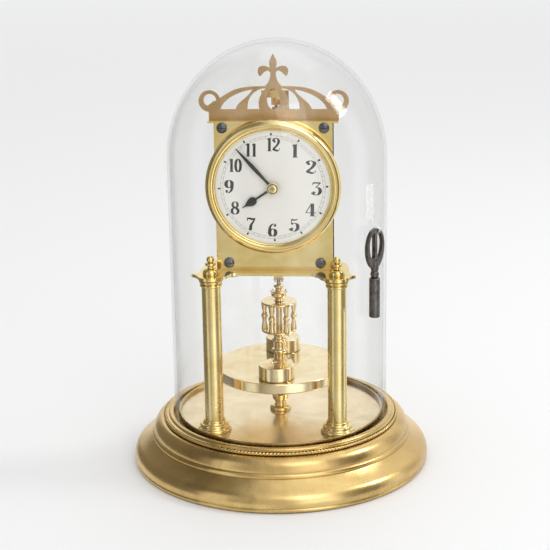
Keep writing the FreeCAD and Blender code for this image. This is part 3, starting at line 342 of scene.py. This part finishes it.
def glass_material():
    """Thin clear glass: see-through when faced, greyer and more mirror-like towards the limb."""
    material, nodes, links = new_material("dome_glass")
    nodes.remove(nodes["Principled BSDF"])
    facing = nodes.new("ShaderNodeLayerWeight")
    facing.inputs["Blend"].default_value = 0.5
    slant = facing.outputs["Facing"]
    tint = ramp(nodes, links, slant, (0.0, (0.994, 0.995, 0.993)), (0.75, (0.985, 0.987, 0.984)),
                (1.0, (0.90, 0.905, 0.90)))
    clear = nodes.new("ShaderNodeBsdfTransparent")
    links.new(tint, clear.inputs["Color"])
    shine = nodes.new("ShaderNodeBsdfGlossy")
    place = stretched(nodes, links, (1.0, 1.0, 0.45))
    seeds = noise(nodes, links, place, 16.0, 3.0, 0.5, 0.4)
    links.new(bump(nodes, links, seeds, 0.12, 0.002), shine.inputs["Normal"])
    smear = noise(nodes, links, place, 40.0, 6.0, 0.7)
    links.new(ramp(nodes, links, smear, (0.35, 0.0), (0.8, 0.06)), shine.inputs["Roughness"])
    grazing = maths(nodes, links, "POWER", slant, 5.0)
    mirror = maths(nodes, links, "ADD", maths(nodes, links, "MULTIPLY", grazing, 0.55), 0.035)
    path = nodes.new("ShaderNodeLightPath")
    lit = maths(nodes, links, "SUBTRACT", 1.0, path.outputs["Is Shadow Ray"])
    share = maths(nodes, links, "MULTIPLY", mirror, lit)
    both = nodes.new("ShaderNodeMixShader")
    links.new(share, both.inputs["Fac"])
    links.new(clear.outputs[0], both.inputs[1])
    links.new(shine.outputs[0], both.inputs[2])
    links.new(both.outputs[0], nodes["Material Output"].inputs["Surface"])
    return material


def tape_material():
    """Clear film with a milky, crinkled sheen."""
    material, nodes, links = new_material("clear_film")
    shader = nodes["Principled BSDF"]
    place = stretched(nodes, links, (1.0, 1.0, 0.3))
    crinkle = noise(nodes, links, place, 700.0, 4.0, 0.6, 0.8)
    film = mix(nodes, links, crinkle, (0.86, 0.87, 0.86), (0.97, 0.97, 0.96))
    links.new(film, shader.inputs["Base Color"])
    links.new(ramp(nodes, links, crinkle, (0.3, 0.08), (0.7, 0.3)), shader.inputs["Roughness"])
    links.new(ramp(nodes, links, crinkle, (0.3, 0.22), (0.75, 0.5)), shader.inputs["Alpha"])
    links.new(bump(nodes, links, crinkle, 0.5, 0.0003), shader.inputs["Normal"])
    return material


DIAL_CENTRE = (0.0, 0.0, 0.199)
POLISHED = dict(bright=(0.96, 0.79, 0.36), dull=(0.84, 0.64, 0.23), rough_low=0.07, rough_high=0.16)
MATERIALS = {
    "aged_brass": metal("aged_brass", (0.82, 0.60, 0.255), (0.60, 0.41, 0.16), 0.22, 0.32, blotch=16.0,
                        line_strength=0.16, stain=0.5, crevice_shade_strength=0.6, dents=0.12),
    "polished_brass": metal("polished_brass", lines=(1.0, 1.0, 40.0), line_strength=0.05, **POLISHED),
    "turned_brass": metal("turned_brass", line_strength=0.1, **POLISHED),
    "shaft_brass": metal("shaft_brass", (0.97, 0.81, 0.42), (0.88, 0.69, 0.29), 0.22, 0.30,
                         line_strength=0.1),
    "bezel_brass": metal("bezel_brass", (1.0, 0.83, 0.40), (0.93, 0.72, 0.29), 0.05, 0.12,
                         centre=DIAL_CENTRE, about_y=True, line_strength=0.03),
    "bronzed_brass": metal("bronzed_brass", (0.70, 0.49, 0.275), (0.58, 0.39, 0.20), 0.24, 0.36,
                           blotch=60.0, lines=(30.0, 1.0, 1.0), line_strength=0.12, stain=0.15),
    "pale_brass": metal("pale_brass", (0.96, 0.81, 0.55), (0.84, 0.67, 0.40), 0.16, 0.28, blotch=30.0,
                        line_strength=0.2, stain=0.25),
    "pendulum_brass": metal("pendulum_brass", (0.95, 0.81, 0.50), (0.84, 0.66, 0.35), 0.09, 0.18,
                            blotch=50.0, line_strength=0.14, crevice_shade_strength=0.5),
    "train_brass": metal("train_brass", (0.88, 0.67, 0.28), (0.74, 0.54, 0.21), 0.2, 0.32, blotch=80.0,
                         lines=(35.0, 1.0, 1.0), line_strength=0.16),
    "steel": metal("steel", (0.58, 0.57, 0.55), (0.40, 0.38, 0.35), 0.2, 0.38, blotch=160.0,
                   lines=(30.0, 30.0, 1.0), line_strength=0.2),
    "blued_steel": metal("blued_steel", (0.17, 0.185, 0.205), (0.10, 0.105, 0.115), 0.26, 0.42,
                         blotch=240.0, lines=(30.0, 1.0, 1.0), line_strength=0.2),
    "dark_steel": metal("dark_steel", (0.20, 0.19, 0.18), (0.11, 0.10, 0.095), 0.32, 0.5, blotch=260.0,
                        lines=(30.0, 30.0, 1.0), line_strength=0.3, stain=0.3, crevice_shade_strength=0.5),
    "black_hands": print_material("black_hands", (0.012, 0.012, 0.012), 0.16),
    "dial_print": print_material("dial_print", (0.014, 0.014, 0.015), 0.3),
    "enamel": enamel_material(),
    "glass": glass_material(),
    "clear_tape": tape_material(),
}

# Nodes whose finish differs from that of their material slot
TURNED = ("column_feet", "column_capitals", "finials", "pendulum_cup", "suspension_saddle")
PENDULUM = ("pendulum_disc", "pendulum_stem", "gallery_plates", "gallery_balusters", "weight_front",
            "weight_rear", "regulator_knob")


def look_of(node, slot):
    """Material of a CAD node, from its name or else from its material slot."""
    if node == "bezel":
        return MATERIALS["bezel_brass"]
    if node == "column_shafts":
        return MATERIALS["shaft_brass"]
    if node in TURNED:
        return MATERIALS["turned_brass"]
    if node in PENDULUM:
        return MATERIALS["pendulum_brass"]
    return MATERIALS[slot]


def dress_cad_nodes():
    """Procedural material and smooth shading on every carried-over node."""
    slots = {s["node"]: s["material_slot"] for s in frame["record"]["subparts"]}
    for name, node in NODES.items():
        node.data.materials.clear()
        node.data.materials.append(look_of(name, slots[name]))
        smooth_faces(node.data, CAD_SHARP_ANGLE)


dress_cad_nodes()


# ---------------------------------------------------------------- base and dome

def build_base():
    """Spun base: torus, lip and ovolo outside, groove for the dome on top, hollow below."""
    points = profile(
        (97.5, 0.0), (100.5, 0.0), ((101.6, 1.2), (101.2, 3.0)), (101.6, 3.4), ((101.3, 8.6), (97.4, 12.9)),
        ((93.2, 15.5), (89.3, 18.6)), ((89.5, 20.5), (87.9, 22.0)), ((87.0, 26.6), (82.4, 30.8)),
        (79.8, 31.2), ((78.5, 32.4), (79.3, 33.6)), (77.6, 33.8), ((77.0, 34.7), (75.6, 35.0)),
        ((74.2, 34.7), (73.8, 34.0)), (73.8, 31.6), (70.8, 31.6), (70.8, 35.4),
        ((70.1, 36.0), (69.3, 35.4)), (69.3, 31.6), (62.0, 31.6), (62.0, 29.4), (80.0, 29.0),
        ((84.4, 25.6), (85.4, 21.0)), (85.8, 18.0),
        ((89.0, 14.2), (93.0, 12.4)), ((97.6, 9.4), (99.0, 4.0)), (97.5, 3.0))
    base = lathe("base_shell", points, "frame", MATERIALS["aged_brass"], segments=288)
    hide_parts("base_moulding")


def build_rope_ring():
    """Milled ring with slanting ridges, like a fine twisted rope."""
    ridges, per_ridge, around = 210, 6, 14
    radius, height, thick, swelling = 80.1, 32.4, 1.0, 0.20
    rows = ridges * per_ridge
    verts = []
    for i in range(rows):
        a = 2 * math.pi * i / rows
        for k in range(around):
            b = 2 * math.pi * k / around
            swell = 1.0 + swelling * math.cos(ridges * a - 2.0 * b)
            r = radius + thick * swell * math.cos(b)
            verts.append((r * math.cos(a), r * math.sin(a), height + thick * swell * math.sin(b)))
    faces = []
    for i in range(rows):
        j = (i + 1) % rows
        for k in range(around):
            m = (k + 1) % around
            faces.append((i * around + k, j * around + k, j * around + m, i * around + m))
    ring = add_mesh("rope_moulding", verts, faces, "frame", MATERIALS["aged_brass"], 70.0)
    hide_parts("rope_ring")


def build_dome():
    """Blown glass dome: straight wall, half-ellipsoid top, rounded rim."""
    outer, wall, spring, top, foot = 73.2, 2.0, 211.5, 290.5, 31.6
    inner = outer - wall
    bevel_in, bevel_up = 0.3, 0.8
    steps, courses = 48, 12

    def vault(radius, height):
        """Quarter ellipse from the wall up to the axis."""
        angles = [math.pi / 2 * i / steps for i in range(steps + 1)]
        return [(radius * math.cos(a), spring + (height - spring) * math.sin(a)) for a in angles]

    levels = [foot + (spring - foot) * k / courses for k in range(1, courses)]
    outside = [(outer, foot + bevel_up)] + [(outer, z) for z in levels] + vault(outer, top)
    inside = vault(inner, top - wall)[::-1] + [(inner, z) for z in levels[::-1]]
    inside.append((inner, foot + bevel_up))
    rim = [(inner + bevel_in, foot), (outer - bevel_in, foot)]
    points = [(max(r, 0.0), h) for r, h in outside + inside + rim]
    dome = lathe("dome_glass", points, "dome", MATERIALS["glass"], segments=224, angle=60.0)
    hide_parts("glass_dome")


build_base()
build_rope_ring()
build_dome()


# ---------------------------------------------------------------- dial

# Millimetres; the dial faces -Y, so its front has the lower Y
DIAL_Z = 199.0
DIAL_HOLE = 3.2
DIAL_DOMED = 37.0
DIAL_EDGE = 40.1
DIAL_BACK = -33.8
DIAL_FACE = -35.0
DIAL_BULGE = 0.5
TRACK_INNER = 32.5
TRACK_OUTER = 34.0
MARK_START = 34.2
MARK_HALF_LENGTH = 0.85
NUMERAL_HEIGHT = 8.5
NUMERAL_RADIUS = 28.2
PRINT_LIFT = 0.04
PRINT_DEPTH = 0.10
DIAL_TURN = math.radians(-1.2)

# Figures, in shares of their height: thin and thick strokes and widths; a figure on its own is widened
HAIR = 0.042
STEM = 0.2
FIGURE_WIDTH = 0.56
ONE_WIDTH = 0.46
LONE_STRETCH = 1.34


def enamel_front(r):
    """Y of the domed enamel at a distance from the dial centre."""
    return DIAL_FACE - DIAL_BULGE * max(0.0, 1.0 - (r / DIAL_DOMED) ** 2)


def build_dial():
    """Enamel disc with a slightly domed front and a hole for the hands."""
    rows = 24
    radii = [DIAL_HOLE + (DIAL_DOMED - DIAL_HOLE) * i / rows for i in range(rows + 1)]
    points = [(DIAL_HOLE, DIAL_BACK)] + [(r, enamel_front(r)) for r in radii]
    points += [(DIAL_EDGE, DIAL_FACE), (DIAL_EDGE, DIAL_BACK)]
    dial = lathe("dial_enamel", points, "frame", MATERIALS["enamel"], (0.0, DIAL_Z), True,
                 segments=256, angle=50.0)
    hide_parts("dial")


class Print:
    """Collects thin raised shapes on the dial into one mesh."""

    def __init__(self):
        self.verts = []
        self.faces = []

    def strip(self, left, right):
        """Band between two edge lines given in dial coordinates (x right, z up)."""
        base = len(self.verts)
        n = len(left)
        for depth in (-PRINT_LIFT, PRINT_DEPTH):
            for x, z in list(left) + list(right):
                y = enamel_front(math.hypot(x, z)) + depth
                self.verts.append((x, y, DIAL_Z + z))
        back = 2 * n
        for i in range(n - 1):
            a, b, c, d = i, i + 1, n + i + 1, n + i
            self.faces.append(tuple(base + k for k in (a, b, c, d)))
            self.faces.append(tuple(base + back + k for k in (d, c, b, a)))
            self.faces.append(tuple(base + k for k in (b, a, back + a, back + b)))
            self.faces.append(tuple(base + k for k in (d, c, back + c, back + d)))
        for a, b in ((0, n), (2 * n - 1, n - 1)):
            self.faces.append(tuple(base + k for k in (a, b, back + b, back + a)))

    def stroke(self, points, width, place):
        """Pen stroke; width(tangent, share) gives its full width."""
        left, right = [], []
        last = len(points) - 1
        for i, (x, z) in enumerate(points):
            x0, z0 = points[max(i - 1, 0)]
            x1, z1 = points[min(i + 1, last)]
            length = math.hypot(x1 - x0, z1 - z0) or 1.0
            tx, tz = (x1 - x0) / length, (z1 - z0) / length
            half = width((tx, tz), i / last) / 2
            left.append(place(x - tz * half, z + tx * half))
            right.append(place(x + tz * half, z - tx * half))
        self.strip(left, right)

    def ball(self, centre, radius, place, count=18):
        """Round dot."""
        x, z = centre
        rows = [math.pi * i / count for i in range(count + 1)]
        self.strip([place(x - radius * math.cos(a), z + radius * math.sin(a)) for a in rows],
                   [place(x - radius * math.cos(a), z - radius * math.sin(a)) for a in rows])


def modern_pen(tangent, share):
    """Upright strokes are heavy and level strokes are hairlines."""
    return HAIR + (STEM - HAIR) * abs(tangent[1]) ** 1.8


def even_pen(size):
    """Strokes of one width."""
    return lambda tangent, share: size


def swelling_pen(start, end):
    """Strokes that grow or shrink from one width to another."""
    return lambda tangent, share: start + (end - start) * share ** 0.8


def bellied_pen(tangent, share):
    """Level strokes of the 2 and the 7: thin ends and a thick middle."""
    return 0.05 + 0.10 * math.sin(math.pi * share) ** 0.6


def curve(points, steps=9):
    """Smooth run through points."""
    out = []
    padded = [points[0]] + list(points) + [points[-1]]
    for i in range(1, len(padded) - 2):
        p0, p1, p2, p3 = padded[i - 1:i + 3]
        for k in range(steps):
            t = k / steps
            out.append(tuple(
                0.5 * (2 * p1[c] + (p2[c] - p0[c]) * t + (2 * p0[c] - 5 * p1[c] + 4 * p2[c] - p3[c]) * t * t
                       + (3 * p1[c] - p0[c] - 3 * p2[c] + p3[c]) * t ** 3) for c in (0, 1)))
    out.append(points[-1])
    return out


def oval(cx, cz, rx, rz, steps=40):
    """Closed ellipse."""
    angles = [math.radians(360.0 * i / steps) for i in range(steps + 1)]
    return [(cx + rx * math.cos(a), cz + rz * math.sin(a)) for a in angles]


def digit(out, figure, place):
    """One upright figure one unit high, drawn with a broad pen and ball ends."""
    if figure == "0":
        out.stroke(oval(0.27, 0.5, 0.19, 0.485), modern_pen, place)
    elif figure == "1":
        out.stroke([(0.23, 0.0), (0.23, 1.0)], even_pen(STEM), place)
        out.stroke([(0.16, 0.985), (0.07, 0.86)], swelling_pen(0.07, HAIR), place)
        out.stroke([(0.07, 0.018), (0.39, 0.018)], even_pen(HAIR), place)
    elif figure == "2":
        out.ball((0.15, 0.74), 0.085, place)
        out.stroke(curve([(0.07, 0.76), (0.12, 0.92), (0.27, 0.985), (0.44, 0.88), (0.46, 0.70),
                          (0.34, 0.46), (0.16, 0.26), (0.06, 0.08)]), modern_pen, place)
        out.stroke(curve([(0.06, 0.08), (0.18, 0.10), (0.33, 0.05), (0.45, 0.07)]),
                   bellied_pen, place)
        out.stroke(curve([(0.45, 0.06), (0.52, 0.12), (0.54, 0.25)]), even_pen(HAIR), place)
    elif figure == "3":
        out.stroke([(0.08, 0.95), (0.50, 0.95)], even_pen(0.10), place)
        out.stroke([(0.08, 0.97), (0.07, 0.78)], swelling_pen(0.06, HAIR), place)
        out.stroke([(0.49, 0.93), (0.23, 0.60)], even_pen(HAIR * 1.3), place)
        out.stroke(curve([(0.23, 0.60), (0.38, 0.58), (0.48, 0.42), (0.47, 0.20), (0.36, 0.04),
                          (0.22, 0.015), (0.09, 0.10), (0.07, 0.20)]), modern_pen, place)
        out.ball((0.14, 0.20), 0.085, place)
    elif figure == "4":
        out.stroke([(0.39, 0.0), (0.39, 1.0)], even_pen(STEM), place)
        out.stroke([(0.34, 0.99), (0.02, 0.27)], even_pen(HAIR * 1.2), place)
        out.stroke([(0.0, 0.27), (0.58, 0.27)], even_pen(HAIR * 1.2), place)
        out.stroke([(0.24, 0.018), (0.54, 0.018)], even_pen(HAIR), place)
    elif figure == "5":
        out.stroke([(0.12, 0.54), (0.12, 0.97)], even_pen(HAIR * 1.2), place)
        out.stroke(curve([(0.12, 0.92), (0.24, 0.89), (0.36, 0.90), (0.48, 0.99)]),
                   lambda tangent, share: 0.12 - 0.09 * share ** 2, place)
        out.stroke(curve([(0.12, 0.54), (0.20, 0.62), (0.32, 0.63), (0.45, 0.52), (0.47, 0.26),
                          (0.36, 0.05), (0.22, 0.015), (0.09, 0.10), (0.07, 0.20)]), modern_pen, place)
        out.ball((0.14, 0.20), 0.085, place)
    elif figure == "6":
        six(out, place)
    elif figure == "7":
        out.stroke(curve([(0.07, 0.90), (0.20, 0.93), (0.36, 0.87), (0.52, 0.95)]),
                   bellied_pen, place)
        out.stroke([(0.07, 0.99), (0.07, 0.74)], even_pen(HAIR * 1.3), place)
        out.stroke(curve([(0.52, 0.96), (0.40, 0.66), (0.28, 0.38), (0.24, 0.0)]), swelling_pen(HAIR, 0.19),
                   place)
    elif figure == "8":
        out.stroke(oval(0.27, 0.75, 0.145, 0.235),
                   lambda tangent, share: HAIR + 0.09 * abs(tangent[1]) ** 1.6, place)
        out.stroke(oval(0.27, 0.27, 0.18, 0.255),
                   lambda tangent, share: HAIR + 0.11 * abs(tangent[1]) ** 1.6, place)
        out.stroke([(0.16, 0.64), (0.39, 0.40)], even_pen(0.13), place)
    elif figure == "9":
        six(out, lambda x, z: place(0.54 - x, 1.0 - z))


def six(out, place):
    """The figure 6, or a 9 if place turns it over."""
    out.stroke(oval(0.28, 0.30, 0.175, 0.285), modern_pen, place)
    out.stroke(curve([(0.13, 0.32), (0.10, 0.52), (0.15, 0.78), (0.28, 0.96), (0.40, 0.97), (0.46, 0.88)]),
               lambda tangent, share: HAIR + 0.12 * abs(tangent[1]) ** 1.6 * (1 - share) ** 0.5, place)
    out.ball((0.41, 0.84), 0.075, place)


def numeral_place(hour, start, stretch):
    """Maps figure units to dial millimetres for the numeral of an hour."""
    a = math.radians(hour * 30.0)
    cx, cz = NUMERAL_RADIUS * math.sin(a), NUMERAL_RADIUS * math.cos(a)

    def place(x, z):
        u = cx + (start + x) * stretch * NUMERAL_HEIGHT
        v = cz + (z - 0.5) * NUMERAL_HEIGHT
        turn_c, turn_s = math.cos(DIAL_TURN), math.sin(DIAL_TURN)
        return (u * turn_c - v * turn_s, u * turn_s + v * turn_c)

    return place


def build_numerals():
    """The numbers 1 to 12, upright."""
    out = Print()
    for hour in range(1, 13):
        figures = str(hour)
        widths = [ONE_WIDTH if f == "1" else FIGURE_WIDTH for f in figures]
        start = -sum(widths) / 2
        stretch = LONE_STRETCH if len(figures) == 1 else 1.0
        for figure, width in zip(figures, widths):
            digit(out, figure, numeral_place(hour, start, stretch))
            start += width
    add_mesh("dial_numerals", out.verts, out.faces, "frame", MATERIALS["dial_print"], 60.0)


def build_minute_track():
    """Two hairline circles with sixty ties, and a small pointed mark at each five minutes."""
    out = Print()

    def identity(x, z):
        return (x, z)

    for radius in (TRACK_INNER, TRACK_OUTER):
        ring = oval(0.0, 0.0, radius, radius, steps=240)
        out.stroke(ring, even_pen(0.11), identity)
    for minute in range(60):
        a = math.radians(minute * 6.0) + DIAL_TURN
        x, z = math.sin(a), math.cos(a)
        tie = [(radius * x, radius * z) for radius in (TRACK_INNER, TRACK_OUTER)]
        out.stroke(tie, even_pen(0.13), identity)
        if minute % 5 == 0:
            reaches = [MARK_START + MARK_HALF_LENGTH * (1 - math.cos(math.pi * k / 8)) for k in range(9)]
            mark = [(reach * x, reach * z) for reach in reaches]
            out.stroke(mark, lambda tangent, share: 0.1 + 1.15 * math.sin(math.pi * share), identity)
    add_mesh("dial_minute_track", out.verts, out.faces, "frame", MATERIALS["dial_print"],
             60.0)


def build_collet():
    """Turned brass cap that holds the hands: flat rim, groove darkened with painted shade, low boss and
    centre pin.
    """
    points = profile(
        (0.0, -38.0), (3.9, -38.0), (3.9, -39.0), ((3.8, -39.2), (3.6, -39.25)), (3.3, -39.25),
        (3.2, -39.0), (2.7, -39.0), (2.6, -39.5), ((1.9, -39.75), (1.1, -39.8)), (1.0, -39.5), (0.6, -39.5),
        (0.6, -39.85), ((0.35, -39.98), (0.0, -40.0)))
    cap = lathe("hand_cap", points, "centre", MATERIALS["bezel_brass"], (0.0, DIAL_Z),
                True, segments=96)
    # Painted shade: a thin dark steel ring laid on the floor of the cap's groove
    ring = profile((2.68, -38.9), (2.68, -39.08), (3.22, -39.08), (3.22, -38.9))
    lathe("hand_cap_groove_shade", ring, "centre", MATERIALS["blued_steel"], (0.0, DIAL_Z), True,
          segments=96)
    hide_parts("hand_collet")


build_dial()
build_collet()
build_numerals()
build_minute_track()


# ---------------------------------------------------------------- suspension spring

def build_spring():
    """Thin straight strip hung between its upper clamp and the pendulum; it rides on no body and stays
    untwisted.
    """
    half_wide, half_thick, low, high, rows = 1.0, 0.08, 129.4, 251.4, 180
    corners = ((-half_wide, -half_thick), (half_wide, -half_thick), (half_wide, half_thick),
               (-half_wide, half_thick))
    verts = [(x, y, low + (high - low) * i / rows) for i in range(rows + 1) for x, y in corners]
    faces = [(3, 2, 1, 0), tuple(rows * 4 + k for k in range(4))]
    for i in range(rows):
        for k in range(4):
            m = (k + 1) % 4
            faces.append((i * 4 + k, i * 4 + m, i * 4 + 4 + m, i * 4 + 4 + k))
    strip = add_mesh("torsion_spring", verts, faces, None, MATERIALS["steel"], 30.0)
    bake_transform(strip)
    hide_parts("suspension_spring")


build_spring()


# ---------------------------------------------------------------- stage: floor, light, camera

BACKDROP = (0.915, 0.917, 0.92)
WORLD_STRENGTH = 0.95
FLOOR_COLOUR = (0.89, 0.89, 0.892)
# Metres
FLOOR_HALF_SIZE = 30.0
FADE_SPAN = 4.0


def build_floor():
    """Pale floor that fades into the backdrop; polished metal sees it only close to the clock."""
    mesh = bpy.data.meshes.new("floor")
    size = FLOOR_HALF_SIZE
    corners = [(-size, -size, 0), (size, -size, 0), (size, size, 0), (-size, size, 0)]
    mesh.from_pydata(corners, [], [(0, 1, 2, 3)])
    floor = bpy.data.objects.new("floor", mesh)
    bpy.context.scene.collection.objects.link(floor)
    material, nodes, links = new_material("floor_white")
    shader = nodes["Principled BSDF"]
    shader.inputs["Roughness"].default_value = 0.7
    geometry = nodes.new("ShaderNodeNewGeometry")
    length = nodes.new("ShaderNodeVectorMath")
    length.operation = "LENGTH"
    links.new(geometry.outputs["Position"], length.inputs[0])
    reach = length.outputs["Value"]
    beyond_base = ramp(nodes, links, reach, (0.11, 0.0), (0.2, 1.0))
    path = nodes.new("ShaderNodeLightPath")
    open_floor = maths(nodes, links, "MULTIPLY", beyond_base, path.outputs["Is Glossy Ray"])
    shader.inputs["Base Color"].default_value = (*FLOOR_COLOUR, 1.0)
    clear = nodes.new("ShaderNodeBsdfTransparent")
    both = nodes.new("ShaderNodeMixShader")
    links.new(open_floor, both.inputs["Fac"])
    links.new(shader.outputs[0], both.inputs[1])
    links.new(clear.outputs[0], both.inputs[2])
    distant = ramp(nodes, links, maths(nodes, links, "DIVIDE", reach, FADE_SPAN), (0.2, 0.0), (0.9, 1.0))
    haze = nodes.new("ShaderNodeEmission")
    haze.inputs["Color"].default_value = (*BACKDROP, 1.0)
    haze.inputs["Strength"].default_value = WORLD_STRENGTH
    seen = nodes.new("ShaderNodeMixShader")
    links.new(maths(nodes, links, "MULTIPLY", distant, path.outputs["Is Camera Ray"]), seen.inputs["Fac"])
    links.new(both.outputs[0], seen.inputs[1])
    links.new(haze.outputs[0], seen.inputs[2])
    links.new(seen.outputs[0], nodes["Material Output"].inputs["Surface"])
    mesh.materials.append(material)


# Brightness of the studio around the clock as polished metal sees it, by degrees from the front
STUDIO = ((-180, 1.1), (-156, 1.05), (-144, 0.24), (-66, 0.16), (-56, 0.95), (-42, 0.95), (-32, 0.3),
          (-16, 0.55), (0, 0.8), (10, 0.8), (20, 1.5), (42, 1.7), (52, 0.6), (66, 0.24), (86, 0.34),
          (96, 1.4), (108, 1.2), (118, 0.45), (136, 1.05), (180, 1.1))


def warm(value):
    """Grey that turns brown as it gets darker."""
    share = min(value, 1.0)
    return (value, value * (0.88 + 0.12 * share), value * (0.70 + 0.30 * share))


def build_world():
    """Pale backdrop for the camera; polished metal sees light screens with dimmer gaps between them."""
    world = bpy.data.worlds.new("studio")
    bpy.context.scene.world = world
    world.use_nodes = True
    nodes, links = world.node_tree.nodes, world.node_tree.links
    background = nodes["Background"]
    coords = nodes.new("ShaderNodeTexCoord")
    split = nodes.new("ShaderNodeSeparateXYZ")
    links.new(coords.outputs["Generated"], split.inputs[0])
    front = maths(nodes, links, "MULTIPLY", split.outputs["Y"], -1.0)
    angle = maths(nodes, links, "ARCTAN2", split.outputs["X"], front)
    around = maths(nodes, links, "ADD", maths(nodes, links, "DIVIDE", angle, 2 * math.pi), 0.5)
    walls = ramp(nodes, links, around, *((0.5 + degrees / 360.0, warm(value)) for degrees, value in STUDIO))
    across = maths(nodes, links, "ADD", maths(nodes, links, "MULTIPLY", split.outputs["X"], 0.5), 0.5)
    ceiling = ramp(nodes, links, across, (0.1, warm(0.15)), (0.36, warm(0.24)), (0.5, warm(1.2)),
                   (0.66, warm(1.3)), (0.9, warm(0.7)))
    overhead = ramp(nodes, links, split.outputs["Z"], (0.55, 0.0), (0.8, 1.0))
    room = mix(nodes, links, overhead, walls, ceiling)
    path = nodes.new("ShaderNodeLightPath")
    seen = mix(nodes, links, path.outputs["Is Glossy Ray"], BACKDROP, room)
    links.new(seen, background.inputs["Color"])
    background.inputs["Strength"].default_value = WORLD_STRENGTH


def soft_light(name, place, aim, width, height, power):
    """Rectangular lamp turned towards a point; metres and watts."""
    data = bpy.data.lights.new(name, "AREA")
    data.shape = "RECTANGLE"
    data.size = width
    data.size_y = height
    data.energy = power
    lamp = bpy.data.objects.new(name, data)
    bpy.context.scene.collection.objects.link(lamp)
    lamp.location = place
    lamp.rotation_euler = (Vector(aim) - Vector(place)).to_track_quat("-Z", "Y").to_euler()


def build_camera():
    """Camera in front of the clock, a little above it."""
    data = bpy.data.cameras.new("camera")
    data.lens = CAMERA_LENS
    data.sensor_width = SENSOR_WIDTH
    camera = bpy.data.objects.new("camera", data)
    bpy.context.scene.collection.objects.link(camera)
    tilt_c, tilt_s = math.cos(CAMERA_TILT), math.sin(CAMERA_TILT)
    level = Vector((1, 0, 0))
    upright = Vector((0, tilt_s, tilt_c))
    roll_c, roll_s = math.cos(CAMERA_ROLL), math.sin(CAMERA_ROLL)
    right = level * roll_c + upright * roll_s
    up = upright * roll_c - level * roll_s
    back = right.cross(up)
    spin = Matrix.Rotation(CAMERA_TURN, 3, "Z")
    axes = spin @ Matrix((right, up, back)).transposed()
    place = spin @ Vector((CAMERA_SIDE, -CAMERA_DISTANCE, CAMERA_HEIGHT))
    camera.matrix_world = Matrix.Translation(place) @ axes.to_4x4()
    bpy.context.scene.camera = camera


build_floor()
build_world()
soft_light("key_softbox", (0.6, -1.2, 1.4), (0.05, -0.1, 0), 0.9, 0.9, 3.4)
soft_light("window", (1.15, 0.1, 1.06), (0, 0, 0.2), 0.26, 0.46, 4.5)
soft_light("top_fill", (0.2, 0.9, 1.7), (0, 0, 0.1), 1.2, 0.8, 1.5)
build_camera()
bpy.context.scene.view_settings.view_transform = "Standard"
